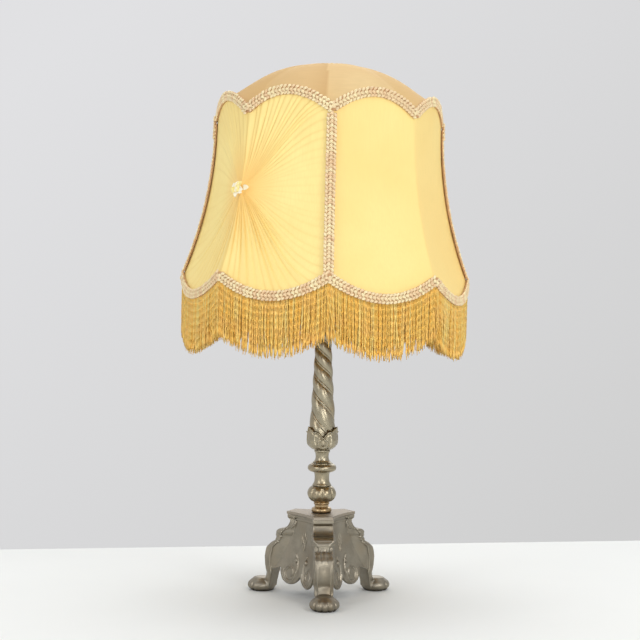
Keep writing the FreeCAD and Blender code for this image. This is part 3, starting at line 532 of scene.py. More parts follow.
def domePoint(degrees, t, out=0.0):
    f = shadeForm
    rim = sideRadius(degrees, 0) - 1.4
    rib = ((rim, f["headRise"]), (120, 650), (85, f["crownRise"]), (f["crownHole"], f["crownRise"]))
    gore = ((rim, f["headRise"] + f["headArch"]), (112, 657), (87, f["crownRise"]),
            (f["crownHole"], f["crownRise"]))
    low, high = bezier(rib, t), bezier(gore, t)
    reach, level = (mix(a, b, bow(degrees)) for a, b in zip(low, high))
    return shadePlace @ polar(reach, degrees, level + out)


def clothPiece(obj, s, material, node):
    addModifier(obj, "SOLIDIFY", thickness=shadeForm["cloth"] * mm, offset=-1.0,
                use_even_offset=True)
    smoothShade(obj, 50)
    finishPiece(obj, "shade", material, node)


plainCovers = {
    "spans": (("front_right_silk", 0, "cover_front_right"),
              ("rear_left_silk", 180, "cover_rear_left")),
    "across": 96, "along": 54, "flat": (0.294, 0.258), "area": 0.060,
    "gathers": 30, "pucker": 0.16, "sag": 0.5, "inset": 0.25,
}


def makePlainCover(name, first, node, s):
    # nearly smooth, with small gathers where it is sewn down above and below
    random.seed(first + 5)
    shifts = [random.uniform(-1.2, 1.2) for _ in range(s["gathers"] + 1)]

    def place(u, v):
        edge = math.exp(-(1 - v) / 0.06) + math.exp(-v / 0.07)
        gather = math.sin(2 * math.pi * s["gathers"] * u + shifts[int(u * s["gathers"])])
        sag = s["sag"] * noise.noise(Vector((u * 3.2, v * 2.5, first)))
        return sidePoint(first + 90 * u, 1 - v, gather * s["pucker"] * edge + sag - s["inset"])
    obj = gridPiece(name, s["across"], s["along"], place)
    tag(obj, "foldShadeAndOverlap", 0.0)
    # warmer left of x = 0.1 m and paler to the right: painted light falling from the right
    tag(obj, "warmth", [0.35 + 0.3 * noise.noise(p.co * 9) + 0.25 * smoothStep(0.1, -0.02, p.co.x)
                        for p in obj.data.vertices])
    clothPiece(obj, s, sideSilk, node)


sunCovers = {
    "spans": (("front_left_silk", -90, "cover_front_left"),
              ("rear_right_silk", 90, "cover_rear_right")),
    # runs of pleats round the edge, from the middle of the hem: where each ends, across from
    # rib to rib as -1 to 1 and down from head to hem as 0 to 1, then how many pleats it has
    # and how deep they are at its start and its end
    "runs": (((1.0, 1.0), 12, 1.0, 0.8), ((1.0, 0.0), 19, 0.6, 0.5), ((0.0, 0.0), 13, 0.85, 1.0),
             ((-1.0, 0.0), 9, 1.0, 0.3), ((-1.0, 1.0), 12, 0.3, 0.5), ((0.0, 1.0), 8, 0.25, 0.6)),
    # across a pleat: the way, how high it stands there and how dark its fold is painted, painted
    # shade with the deeper tone of the doubled silk
    "pleat": ((0.0, 0.0, 0.75), (0.13, 0.3, 0.15), (0.35, 0.62, 0.0), (0.6, 0.85, 0.04),
              (0.78, 1.0, 0.4), (0.9, 0.3, 1.0)),
    "rows": 34, "depth": 2.1, "sunk": 0.26, "inset": 0.15, "centre": (0.0, 0.4767),
    "calm": 0.7,  # how much shallower the pleats are half way up the ribs
    "flat": (0.31, 0.262), "area": 0.068,
}


def sunburstRays(s):
    # each ray's way to the edge, with the height of its pleat there and the painted shade of its
    # fold
    random.seed(41)
    rays, corner = [], (0.0, 1.0)
    for target, pleats, deepStart, deepEnd in s["runs"]:
        widths = [random.uniform(0.6, 1.45) for _ in range(pleats)]
        total, gone = sum(widths), 0.0
        for index, width in enumerate(widths):
            deep = mix(deepStart, deepEnd, (index + 0.5) / pleats) * random.uniform(0.55, 1.25)
            if corner[0] == target[0]:
                deep *= 1 - s["calm"] * math.sin(math.pi * (index + 0.5) / pleats)
            reach = random.uniform(0.7, 1.3)
            for step, rise, dark in s["pleat"]:
                share = (gone + width * step) / total
                edge = [mix(a, b, share) for a, b in zip(corner, target)]
                rays.append((edge, rise * deep, dark * deep, width, reach))
            gone += width
        corner = target
    return rays


def makeSunCover(name, first, node, s):
    # u goes round the rays and v out from the rosette; far is the way from it in millimetres
    rays = sunburstRays(s)
    count = len(rays)
    foldShades, warmths = {}, {}

    def place(u, v):
        ray = round(u * count) % count
        edge, rise, dark, width, reach = rays[ray]
        across, share = (mix(a, b, v ** 1.15) for a, b in zip(s["centre"], edge))
        far = math.hypot(edge[0] * 0.67, edge[1] - s["centre"][1]) * 200 * v
        ends = mix(0.35, 1, smoothStep(1.02, 0.88, v) * smoothStep(3, 26, far))
        flatter = 1 - 0.75 * smoothStep(reach * 0.55, reach, v)
        out = (rise - s["sunk"]) * s["depth"] * width * min(1.0, far / 75) * flatter * ends
        key = (ray, round(v * s["rows"]))
        # painted shade in the fold, strongest near the rosette
        foldShades[key] = dark * mix(0.4, 1.0, smoothStep(105, 40, far)) * smoothStep(6, 18, far)
        warmths[key] = smoothStep(78, 14, far)
        degrees = first + shadeForm["sector"] * (1 + across)
        return sidePoint(degrees, share, out - s["inset"])
    obj = gridPiece(name, count, s["rows"], place)
    grid = [(p.index % (count + 1) % count, p.index // (count + 1)) for p in obj.data.vertices]
    tag(obj, "foldShadeAndOverlap", [foldShades[key] for key in grid])
    tag(obj, "warmth", [warmths[key] for key in grid])
    mergeDoubles(obj)
    editWhole(obj, bpy.ops.mesh.flip_normals)
    clothPiece(obj, s, sideSilk, node)


domeCover = {
    "across": 192, "along": 40, "flat": (0.34, 0.34), "area": 0.092, "inset": 0.2,
    "seam": 0.7, "seamHalf": 1.6, "gathers": 46, "gather": 0.35, "sag": 0.9,
    # how deep the painted shade on each gore is, and how much deeper beside every second seam
    "gores": (0.0, 0.12, 0.35, 0.2, 0.05, 0.2, 0.5, 0.3), "seamTone": 0.35,
}


def makeDome(s):
    sector = shadeForm["sector"]

    # painted shade on the dome: a darker tone on some gores and beside every second seam
    def depth(point):
        degrees = math.degrees(math.atan2(point.y, point.x)) + 90 - shadeForm["turn"]
        gore, across = divmod(degrees % 360, sector)
        beside = math.exp(-(sector - across) / 8) * (gore % 2)
        return s["gores"][int(gore)] + s["seamTone"] * beside

    def place(u, v):
        out = -s["inset"]
        for gore in range(shadeForm["sectors"]):
            off = abs((360 * u - sector * gore + 180) % 360 - 180)
            away = math.radians(off) * (150 * (1 - v) + 12)
            out += s["seam"] * ridge(away, s["seamHalf"]) * (0.5 if gore % 2 else 1)
        drawn = math.exp(-v / 0.08) + 0.8 * math.exp(-(1 - v) / 0.25)
        turn = 2 * math.pi * u
        out += s["gather"] * drawn * math.sin(turn * s["gathers"] + 2.5 * math.sin(9 * u))
        spot = Vector((math.cos(turn) * 2, math.sin(turn) * 2, v * 3))
        out += s["sag"] * noise.noise(spot) * math.sin(math.pi * v)
        return domePoint(360 * u, v, out)
    obj = gridPiece("dome_silk", s["across"], s["along"], place)
    tag(obj, "foldShadeAndOverlap", [depth(p.co) for p in obj.data.vertices])
    tag(obj, "warmth", [0.5 + 0.5 * noise.noise(p.co * 14) for p in obj.data.vertices])
    mergeDoubles(obj)
    clothPiece(obj, s, shadedCrownSilk, "crown_cover")


for makeCover, coverForm in ((makePlainCover, plainCovers), (makeSunCover, sunCovers)):
    for coverName, coverFirst, coverNode in coverForm["spans"]:
        makeCover(coverName, coverFirst, coverNode, coverForm)
makeDome(domeCover)
print("silk covers ready")


# gimp braid: one chevron of five grains of yarn, copied along the rings and the ribs

braidForm = {
    "pitch": 5.0, "backHalf": 5.9, "backThick": 0.9, "grainRise": 1.3, "grainTall": 1.35,
    # where each grain lies, its half length and width, and its slant
    "grains": ((-4.5, 2.5, 2.9, 1.9, 30), (0.0, 0.0, 2.75, 2.35, -24), (4.5, 2.5, 2.9, 1.9, 30),
               (-2.3, 1.3, 1.5, 0.9, -40), (2.3, 1.3, 1.5, 0.9, 40)),
    "ribs": (0, 90, 180, 270), "ribOut": 0.9, "ribSpan": (0.018, 0.985), "ringOut": 0.5,
    # the upper braid's two loose ends, folded down over the side ribs
    "ends": (("left", 270, 2.4, (-0.02, 0.115)), ("right", 90, 2.2, (-0.02, 0.085))),
}


def makeChevron(s):
    # across is X, along the braid Y, outwards Z; millimetres
    grains = []
    for x, y, length, width, slant in s["grains"]:
        clearSelection()
        bpy.ops.mesh.primitive_uv_sphere_add(segments=6, ring_count=4, radius=1)
        grain = bpy.context.object
        grain.data.transform(Matrix.Rotation(math.radians(90), 4, "X"))
        grain.data.transform(Matrix.Diagonal((width, length, s["grainTall"], 1)))
        grain.data.transform(Matrix.Rotation(math.radians(slant), 4, "Z"))
        grain.data.transform(Matrix.Translation((x, y, s["grainRise"])))
        grains.append(grain)
    return joinPieces("chevron", grains)


def copiesOf(unit, places, name, strands):
    # one mesh of the unit set at every place, a matrix each, with a number for each copy
    mesh = unit.data
    points = np.c_[readPoints(mesh.vertices, "co"), np.ones(len(mesh.vertices))]
    corners = np.empty(len(mesh.loops) * 2)
    mesh.uv_layers[0].data.foreach_get("uv", corners)
    moved = np.vstack([(points @ np.array(place).T)[:, :3] for place in places])
    faces = [tuple(index + len(points) * copy for index in face.vertices)
             for copy in range(len(places)) for face in mesh.polygons]
    obj = meshPiece(name, (moved * mm).tolist(), faces, np.tile(corners, len(places)))
    tag(obj, "strand", np.repeat(strands, len(points)))
    return obj


def walk(point, start, end, pitch):
    # places at an even pitch along point(t), with the way there
    fine = [point(mix(start, end, index / 400)) for index in range(401)]
    length = [0.0]
    for a, b in zip(fine, fine[1:]):
        length.append(length[-1] + (b - a).length)
    count = max(1, round(length[-1] / pitch))
    spots, cursor = [], 0
    for index in range(count):
        target = length[-1] * (index + 0.5) / count
        while length[cursor + 1] < target:
            cursor += 1
        share = (target - length[cursor]) / (length[cursor + 1] - length[cursor])
        spots.append((fine[cursor].lerp(fine[cursor + 1], share),
                      (fine[cursor + 1] - fine[cursor]).normalized()))
    return spots


def standing(spot, way, outward):
    # frame with Y along the way and Z outwards
    outward = (outward - way * outward.dot(way)).normalized()
    place = Matrix((way.cross(outward), way, outward)).transposed().to_4x4()
    place.translation = spot
    return place


def ringWay(first, share, out, height):
    # the way along one sector of a ring, up to just short of the next rib
    def point(t):
        degrees = first + shadeForm["sector"] * t - 1e-6 * (t == 1)
        return polar(sideRadius(degrees, share) + out, degrees, height(degrees))
    return point


def ringPlaces(height, share, lean, s):
    places = []
    for sector in range(shadeForm["sectors"]):
        way = ringWay(shadeForm["sector"] * sector, share, s["ringOut"], height)
        for spot, along in walk(way, 0, 1, s["pitch"]):
            outward = Vector((spot.x, spot.y, 0)).normalized()
            places.append(standing(spot, along, outward + Vector((0, 0, lean))))
    return places


def ribPlaces(degrees, out, span, s):
    def point(t):
        level = mix(shadeForm["headRise"], shadeForm["hemRise"], t)
        return polar(ribReach(t) + out, degrees, level)
    outward = polar(1, degrees, 0)
    return [standing(spot, way, outward) for spot, way in walk(point, *span, s["pitch"])]


def backing(name, places, s, closed):
    # the flat tape under the yarn, a section at every place; its brown colour is painted shade seen
    # in the gaps
    half, thick = s["backHalf"], s["backThick"]
    section = ((-half, -thick), (half, -thick), (half, thick), (-half, thick))
    points = [shadePlace @ place @ Vector((x, 0, z)) * mm for place in places for x, z in section]
    count = len(places)
    faces = []
    for row in range(count if closed else count - 1):
        after = (row + 1) % count
        for side in range(4):
            other = (side + 1) % 4
            faces.append((row * 4 + side, row * 4 + other, after * 4 + other, after * 4 + side))
    if not closed:
        faces += [(0, 1, 2, 3), (count * 4 - 1, count * 4 - 2, count * 4 - 3, count * 4 - 4)]
    obj = meshPiece(name, points, faces)
    faceOutwards(obj)
    return obj


def makeBraid(name, places, s, node, closed):
    random.seed(len(places))
    wobbly = []
    for place in places:
        turn = Matrix.Rotation(math.radians(random.uniform(-4, 4)), 4, "Z")
        size = Matrix.Scale(random.uniform(0.94, 1.06), 4)
        wobbly.append(shadePlace @ place @ turn @ size)
    yarn = copiesOf(chevron, wobbly, name + "_yarn", [random.random() for _ in wobbly])
    smoothShade(yarn, 80)
    finishPiece(yarn, "shade", gimp, node)
    # the brown tape is painted shade showing between the grains
    shadeTape = backing(name + "_shade_tape", places, s, closed)
    finishPiece(shadeTape, "shade", gimpGapShade, node)


def makeBraids(s):
    makeBraid("head_gimp", ringPlaces(headHeight, 0.0, 0.02, s), s, "head_braid", True)
    makeBraid("hem_gimp", ringPlaces(hemHeight, 1.0, 0.16, s), s, "hem_braid", True)
    for index, degrees in enumerate(s["ribs"]):
        places = ribPlaces(degrees, s["ribOut"], s["ribSpan"], s)
        makeBraid("rib_gimp_%d" % index, places, s, "rib_braids", False)
    for side, degrees, out, span in s["ends"]:
        makeBraid("end_gimp_" + side, ribPlaces(degrees, out, span, s), s, "head_braid", False)


chevron = makeChevron(braidForm)
makeBraids(braidForm)
bpy.data.objects.remove(chevron)
print("braids ready")


# fringe: twisted cords hung from the hem in three layers

fringeForm = {
    "layers": ((0.2, 1.0), (-1.3, 0.99), (-2.6, 0.97)),  # how far out and its length's share
    "pitch": 1.95, "long": 71.0, "top": -3.5, "radius": 1.14, "rings": 9, "sides": 5,
    "twist": 0.16, "uneven": 2.6, "sway": 1.5, "clump": 5,
    "short": 0.06, "stray": 0.04,  # the shares of cords that are shorter and that hang askew
    "mapLong": 72, "spans": (-90, 0, 90, 180),
}


def cordRings(s, rng, spot, outward, layer):
    # centres, radii and ways down of a hanging cord
    long = s["long"] * layer[1] + rng.uniform(-s["uneven"], s["uneven"])
    if rng.random() < s["short"]:
        long -= rng.uniform(2, 9)
    side = Vector((-outward.y, outward.x, 0))
    waves = [(rng.uniform(0.5, 2.2), rng.uniform(0, 6.28), rng.uniform(0.1, 0.55)) for _ in range(2)]
    drift = rng.gauss(0, 1.0)
    if rng.random() < s["stray"]:
        drift *= 4.5
    rings = []
    for index in range(s["rings"]):
        t = index / (s["rings"] - 1)
        wave = sum(size * math.sin(6.28 * turns * t + phase) for turns, phase, size in waves) * t
        curl = 1.4 * smoothStep(0.8, 1.0, t) * rng.uniform(-1, 1)
        across = drift * t * s["sway"] + wave + curl
        out = 0.5 * wave + 0.6 * drift * t * (1 - t) + curl * 0.4
        width = s["radius"] * (1 - 0.22 * t) * (1 - 0.55 * smoothStep(0.93, 1.0, t))
        drop = Vector((0, 0, s["top"] - long * t))
        rings.append((spot + side * across + outward * out + drop, width, t * long))
    return rings


def addCord(s, rings, lean, own, phase, points, faces, corners):
    # a tube through the rings, closed at both ends; own shifts its map along the cord
    base, sides = len(points), s["sides"]
    for ring, (centre, width, gone) in enumerate(rings):
        for side in range(sides):
            angle = phase + 6.283 * side / sides + gone * s["twist"]
            edge = Vector((math.cos(angle), math.sin(angle), 0)) * width
            points.append(shadePlace @ (centre + lean * ring / len(rings) + edge) * mm)
    for ring in range(len(rings) - 1):
        high, deep = (rings[end][2] / s["mapLong"] + own * 3 for end in (ring, ring + 1))
        above, below = base + ring * sides, base + (ring + 1) * sides
        for side in range(sides):
            other = (side + 1) % sides
            faces.append((above + side, below + side, below + other, above + other))
            left, right = side / sides, (side + 1) / sides
            corners += [left, -high, left, -deep, right, -deep, right, -high]
    faces.append(tuple(range(base, base + sides)))
    faces.append(tuple(reversed(range(len(points) - sides, len(points)))))
    corners += [0.5, 0.0] * sides + [0.5, -1.0] * sides


def makeFringe(name, first, s, node):
    rng = random.Random(first + 11)
    points, faces, corners, strands = [], [], [], []
    for layer in s["layers"]:
        for low in (first, first + shadeForm["sector"]):
            hem = ringWay(low, 1, layer[0], hemHeight)
            for index, (spot, way) in enumerate(walk(hem, 0, 1, s["pitch"])):
                if index % s["clump"] == 0:
                    clumpTurn = rng.gauss(0, 0.9)
                outward = Vector((spot.x, spot.y, 0)).normalized()
                rings = cordRings(s, rng, spot, outward, layer)
                own, phase = rng.random(), rng.uniform(0, 6.28)
                addCord(s, rings, way * clumpTurn, own, phase, points, faces, corners)
                strands += [own] * (len(rings) * s["sides"])
    obj = meshPiece(name, points, faces, corners)
    tag(obj, "strand", strands)
    smoothShade(obj, 80)
    finishPiece(obj, "shade", fringeYarn, node)


for fringeIndex, fringeFirst in enumerate(fringeForm["spans"]):
    makeFringe("fringe_%d" % fringeIndex, fringeFirst, fringeForm, "fringe_skirt")
print("fringe ready")


# rosettes and the crown's covered button

rosetteForm = {
    "sides": (("front_rosette", -45, "rosette_front"), ("rear_rosette", 135, "rosette_rear")),
    "rise": 525.0, "reach": 2.2, "petals": 7, "long": 11.6, "wide": 7.6, "lift": 3.6,
    "knot": 3.0, "knots": 6, "knotOff": 2.6, "knotRise": 3.0,
    # the loose end of ribbon beside the flower: length, width, lift and curl, then its place
    "tail": (11.0, 7.0, 0.8, 0.5), "tailOff": (7.2, 0.8, 0.0),
}


def makePetal(long, wide, lift, curl):
    # a cupped loop of ribbon that lies along +X
    def place(u, v):
        spread = wide * 0.5 * math.sin(math.pi * min(1.0, 0.12 + 0.88 * u)) ** 0.6
        y = (2 * v - 1) * spread
        cup = 0.35 * y * y / max(0.5, spread)
        return Vector((long * u, y, lift * math.sin(math.pi * u * 0.8) + cup + curl * u * u))
    petal = gridPiece("petal", 8, 6, place)
    addModifier(petal, "SOLIDIFY", thickness=0.7 * mm, offset=0.0)
    addModifier(petal, "SUBSURF", levels=1, render_levels=1)
    return petal


def makeKnot(index, s):
    clearSelection()
    bpy.ops.mesh.primitive_uv_sphere_add(segments=14, ring_count=9, radius=s["knot"] * mm)
    knot = bpy.context.object
    for point in knot.data.vertices:
        point.co *= 1 + 0.22 * noise.noise(point.co * 900 + Vector((index, 0, 0)))
    turn = 2 * math.pi * index / s["knots"]
    off = s["knotOff"] if index > 0 else 0.0  # the first one sits in the middle
    spot = Vector((math.cos(turn) * off, math.sin(turn) * off, s["knotRise"]))
    knot.data.transform(Matrix.Translation(spot * mm))
    return knot


def makeRosette(name, degrees, node, s):
    random.seed(7)
    f = shadeForm
    share = (f["headRise"] - s["rise"]) / (f["headRise"] - f["hemRise"])
    outward, up = polar(1, degrees, 0), Vector((0, 0, 1))
    place = Matrix((up.cross(outward), up, outward)).transposed().to_4x4()
    place.translation = polar(ribReach(share) + s["reach"], degrees, s["rise"])
    parts = []
    for index in range(s["petals"]):
        petal = makePetal(s["long"] * random.uniform(0.75, 1.05), s["wide"],
                          s["lift"] * random.uniform(0.8, 1.4), random.uniform(-1.0, 1.5))
        turn = 360 / s["petals"] * index + random.uniform(-14, 14)
        petal.data.transform(Matrix.Rotation(math.radians(turn), 4, "Z"))
        tag(petal, "warmth", 0.95 if index % 3 == 1 else 0.1)
        parts.append(petal)
    tail = makePetal(*s["tail"])
    tail.data.transform(Matrix.Translation(Vector(s["tailOff"]) * mm))
    tag(tail, "warmth", 0.25)
    parts.append(tail)
    for index in range(s["knots"]):
        knot = makeKnot(index, s)
        tag(knot, "warmth", 0.9 if index % 2 else 0.3)
        parts.append(knot)
    flower = joinPieces(name, parts)
    tag(flower, "foldShadeAndOverlap", 0.0)
    spot = shadePlace @ place
    spot.translation = spot.translation * mm
    flower.data.transform(spot)
    smoothShade(flower, 60)
    finishPiece(flower, "shade", creamRibbon, node)


buttonForm = {"reach": 11.6, "tall": 2.0, "above": 0.3, "pleats": 14, "pleat": 0.18}


def makeButton(s):
    # a domed button covered with gathered silk
    clearSelection()
    bpy.ops.mesh.primitive_uv_sphere_add(segments=48, ring_count=20, radius=1)
    button = nameLast("crown_button_silk")
    for point in button.data.vertices:
        x, y, z = point.co
        pleat = s["pleat"] * math.sin(math.atan2(y, x) * s["pleats"]) * math.hypot(x, y) ** 2
        level = shadeForm["crownRise"] + s["above"] + z * s["tall"] + pleat
        point.co = shadePlace @ Vector((x * s["reach"], y * s["reach"], level)) * mm
    tag(button, "foldShadeAndOverlap", 0.0)
    tag(button, "warmth", 0.4)
    smoothShade(button, 60)
    finishPiece(button, "shade", shadedCrownSilk, "crown_button")


for rosetteName, rosetteAngle, rosetteNode in rosetteForm["sides"]:
    makeRosette(rosetteName, rosetteAngle, rosetteNode, rosetteForm)
makeButton(buttonForm)
print("rosettes and button ready")


# castings: legs and side panels start from the CAD form and get their carving in a frame of
# their own, in millimetres: X outwards, Y across, Z up

castForm = {
    "baseTurn": 3.3, "voxel": 0.7, "polish": 4, "wornPolish": 30,
    # heights that are worn smooth: four levels up through them, and how much
    "worn": ((7, 12, 24, 31, 1.0), (67, 71, 78, 82, 0.35)),
}


def denseCopy(name, node, turn, shape, s):
    # the node's form as an even dense mesh in its own frame, with its larger forms reshaped
    obj = bpy.data.objects.new(name, frame["nodes"][node].data.copy())
    bpy.context.scene.collection.objects.link(obj)
    obj.data.transform(Matrix.Rotation(math.radians(90 - s["baseTurn"] - turn), 4, "Z"))
    mergeDoubles(obj)
    addModifier(obj, "REMESH", mode="VOXEL", voxel_size=s["voxel"] * mm)
    points = readPoints(obj.data.vertices, "co") / mm
    obj.data.vertices.foreach_set("co", (shape(points) * mm).ravel())
    worn = obj.vertex_groups.new(name="worn")
    for point in obj.data.vertices:
        level = point.co.z / mm
        share = max(much * smoothStep(first, low, level) * smoothStep(last, high, level)
                    for first, low, high, last, much in s["worn"])
        worn.add([point.index], share, "REPLACE")
    addModifier(obj, "SMOOTH", factor=0.5, iterations=s["wornPolish"], vertex_group="worn")
    addModifier(obj, "SMOOTH", factor=0.5, iterations=s["polish"])
    return obj


def carve(obj, relief, turn, s):
    # moves every point along its normal by what the relief says, then turns the piece home
    points = readPoints(obj.data.vertices, "co")
    normals = readPoints(obj.data.vertex_normals, "vector")
    lift = relief(points / mm, normals)
    obj.data.vertices.foreach_set("co", (points + normals * lift[:, None] * mm).ravel())
    obj.data.transform(Matrix.Rotation(math.radians(s["baseTurn"] + turn - 90), 4, "Z"))
    smoothShade(obj, 70)


def edgeAt(heights, values):
    # the largest value near each height, level by level
    level = np.clip(heights.astype(int), 0, 119)
    most = np.full(122, -1e9)
    np.maximum.at(most, level, values)
    most = np.maximum(most, np.maximum(np.roll(most, 1), np.roll(most, -1)))
    return most[level]


def runOn(inside, z):
    # 1 at the edge that runs on into the neighbouring piece, 0 further inside and low down
    return fade(4.0, 0.5, inside) * fade(33, 39, z)


legForm = {
    "names": ("leg_front", "leg_right", "leg_left"), "turns": (0, 120, 240), "inward": 5.0,
    "kneeTop": 73.0, "kneeHalf": 11.3, "fingerDepth": 1.4, "shinHollow": 1.3, "shinRim": 8.2,
    "strapLow": 79.5, "strapTop": 101.0, "strapHalf": 13.9, "strapRim": 12.6, "border": 9.0,
    "curl": (52.0, 78.0), "curlPitch": 3.6, "curlReach": 5.6,
    "pawReach": 88.0, "pawHalf": 19.2, "pawLevel": 7.2, "pawTall": 10.6,
    "toes": (-75, -45, -15, 15, 45, 75), "toeDepth": 1.3,
    # heights with the front's half width, then with how far the front is filled out
    "half": ((0, 14), (22, 8.2), (30, 8.4), (46, 11.2), (60, 11.3), (69, 10.8), (72, 9.8),
             (75, 7.8), (78.0, 7.8), (80.5, 11.4), (84, 12.8), (91, 13.4), (98, 12.2), (110, 14)),
    "fill": ((60, 0), (64, 1.0), (67, 2.8), (70, 5.0), (73, 5.6), (74.6, 4.0), (76.4, 4.6),
             (78.6, 2.4), (81, 0)),
}


def shapeLeg(points, s):
    # the web falls back beside the roll and the knee, and the toes melt into one rounded pad
    x, y, z = points.T
    inner = -edgeAt(z, -x)
    x = x - s["inward"] * runOn(x - inner, z) * fade(104, 100, z)
    outer = edgeAt(z, np.where(np.abs(y) < 5, x, -1e9))
    fill = np.interp(z, *zip(*s["fill"]))
    x = x + fill * fade(9, 3, outer - x)
    outer = outer + fill
    over = np.clip(np.abs(y) - np.interp(z, *zip(*s["half"])), 0, None)
    keep = fade(18, 24, z) * fade(103, 101, z)
    limit = outer - 0.2 - 1.25 * over
    x = np.where(over > 0, np.where(x > limit, mix(x, limit, keep), x), x)
    far = np.hypot(y, x - s["pawReach"])
    swell = np.clip(1 - ((z - s["pawLevel"]) / s["pawTall"]) ** 2, 0.05, 1) ** 0.5
    pad = s["pawHalf"] * swell
    share = fade(7, 12, far) * fade(16.8, 14.5, z) * fade(70, 76, x)
    scale = 1 + share * (pad / np.maximum(far, 1) - 1)
    return np.c_[s["pawReach"] + (x - s["pawReach"]) * scale, y * scale, z]


def legRelief(points, normals, s):
    x, y, z = points.T
    front = fade(0.05, 0.45, normals[:, 0]) * (x > 30)
    side = fade(0.5, 0.8, np.abs(normals[:, 1]))
    # three rounded fingers at the top of the knee, sinking into a hollow shin between rims
    fingers = np.abs(np.cos(1.5 * np.pi * np.clip(y / s["kneeHalf"], -0.667, 0.667))) ** 0.55
    below = s["kneeTop"] - z
    onKnee = front * fade(19, 8, below) * fade(-1, 1.2, below)
    lift = -(1 - fingers) * s["fingerDepth"] * onKnee
    shin = front * fade(20, 28, z) * fade(60, 46, z)
    lift -= s["shinHollow"] * np.clip(1 - (y / 7.0) ** 2, 0, 1) * shin
    lift += 0.5 * ridge(np.abs(y) - s["shinRim"], 1.3) * shin
    # the strap is a cushion with a thin rim
    strap = front * fade(0, 3, z - s["strapLow"]) * fade(-0.5, 0.5, s["strapTop"] - z)
    cushion = 0.5 - (y / s["strapHalf"]) ** 4
    lift += strap * (cushion + 0.7 * ridge(np.abs(y) - s["strapRim"], 0.7))
    # the web's sides are sunk inside a raised border, with a curl at the leaf
    border = edgeAt(z, np.where(side > 0.3, x, -1e9)) - x
    web = side * (np.abs(y) > 9) * fade(22, 28, z) * fade(104, 100, z)
    past = border - s["border"]
    lift += web * (1.3 * ridge(past, 1.1) - 0.7 * fade(0.8, 2.5, past))
    away = np.hypot(x - s["curl"][0], z - s["curl"][1])
    turn = np.arctan2(z - s["curl"][1], x - s["curl"][0]) / (2 * np.pi)
    inCurl = side * fade(s["curlReach"], s["curlReach"] - 1.5, away)
    lift += inCurl * (0.4 + 0.4 * np.cos(2 * np.pi * (away / s["curlPitch"] - turn)))
    # creases between the toes
    toe = np.degrees(np.arctan2(y, x - s["pawReach"]))
    pad = fade(12, 16, np.hypot(y, x - s["pawReach"])) * fade(15, 9, z)
    for crease in s["toes"]:
        lift -= s["toeDepth"] * ridge(toe - crease, 5.0) * pad
    return lift


panelForm = {
    "names": ("side_panel_right", "side_panel_rear", "side_panel_left"), "turns": (60, 180, 300),
    "lobe": (21.0, 30.5), "lobeReach": 13.2, "spiral": 6.4, "line": 1.0, "lineRise": 1.7,
    "spiralFrom": 105, "lapEnd": 1.42, "top": 110.0, "inset": 25.0, "flare": 14.85, "bend": 240.0,
    "overlap": 4.0,
    "bead": (11.5, 47.5), "beadSize": 2.8, "strokes": (-7.5, -4.6, -1.6, 1.4, 4.4, 7.4),
    "strokeRise": 1.1,
}


def shapePanel(points, s):
    # the sides run on into the legs, so that no gap shows
    x, y, z = points.T
    share = (s["top"] - z) / s["top"]
    face = x > s["inset"] + s["flare"] * share ** 2 + y ** 2 / s["bend"] - 1.5
    edge = np.where(face, edgeAt(z, np.where(face, np.abs(y), 0)), edgeAt(z, np.abs(y)))
    return np.c_[x, y + np.sign(y) * s["overlap"] * runOn(edge - np.abs(y), z), z]


def panelRelief(points, normals, s):
    x, y, z = points.T
    across = np.abs(y)
    front = fade(0.25, 0.6, normals[:, 0])
    lift = np.zeros(len(points))
    # a C-shaped scroll on each lobe, that starts beside the cusp and winds in
    away = np.hypot(across - s["lobe"][0], z - s["lobe"][1])
    angle = np.degrees(np.arctan2(z - s["lobe"][1], across - s["lobe"][0]))
    turn = (angle - s["spiralFrom"]) % 360 / 360
    for lap in (0, 1):
        gone = turn + lap
        line = s["lobeReach"] - s["spiral"] * gone + 13 * np.clip(1 - gone / 0.24, 0, 1) ** 1.6
        lift += s["lineRise"] * ridge(away - line, s["line"]) * fade(s["lapEnd"], 1.3, gone)
    lift -= 0.5 * fade(s["lobeReach"] - 1, s["lobeReach"] - 3, away)
    # a bead above each lobe, with a groove round it
    bead = np.hypot(across - s["bead"][0], z - s["bead"][1])
    lift += 0.9 * np.sqrt(np.clip(s["beadSize"] ** 2 - bead ** 2, 0, None))
    lift -= 0.6 * ridge(bead - s["beadSize"] - 0.8, 0.7)
    # a fan of wavy strokes in the middle
    for index, offset in enumerate(s["strokes"]):
        spread = offset * (1 + 0.35 * (z - 72) / 20)
        stroke = y - spread - 0.9 * np.sin(z * 0.42 + 1.7 * index)
        low, high = 56 + 2.2 * abs(offset), 90 - 1.6 * abs(offset)
        inside = fade(low, low + 5, z) * fade(high, high - 6, z)
        lift += s["strokeRise"] * (ridge(stroke, 0.75) - 0.7 * ridge(stroke - 1.5, 0.75)) * inside
    # a raised edge under the lobes, and a moulding under the plate
    lift += 0.9 * ridge(away - s["lobeReach"] + 0.4, 1.0) * (z < s["lobe"][1] + 4)
    lift += 0.7 * fade(98.6, 99.6, z) - 0.6 * ridge(z - 102.6, 0.8)
    return lift * front


def makeCastings(form, shape, relief, s):
    for node, turn in zip(form["names"], form["turns"]):
        obj = denseCopy(node + "_carved", node, turn, lambda points: shape(points, form), s)
        carve(obj, lambda points, normals: relief(points, normals, form), turn, s)
        finishPiece(obj, "stand", bronze, node)


makeCastings(legForm, shapeLeg, legRelief, castForm)
makeCastings(panelForm, shapePanel, panelRelief, castForm)
print("legs and panels ready")


# the stem's modelled pieces: closed grids round the axis, that start and end on it

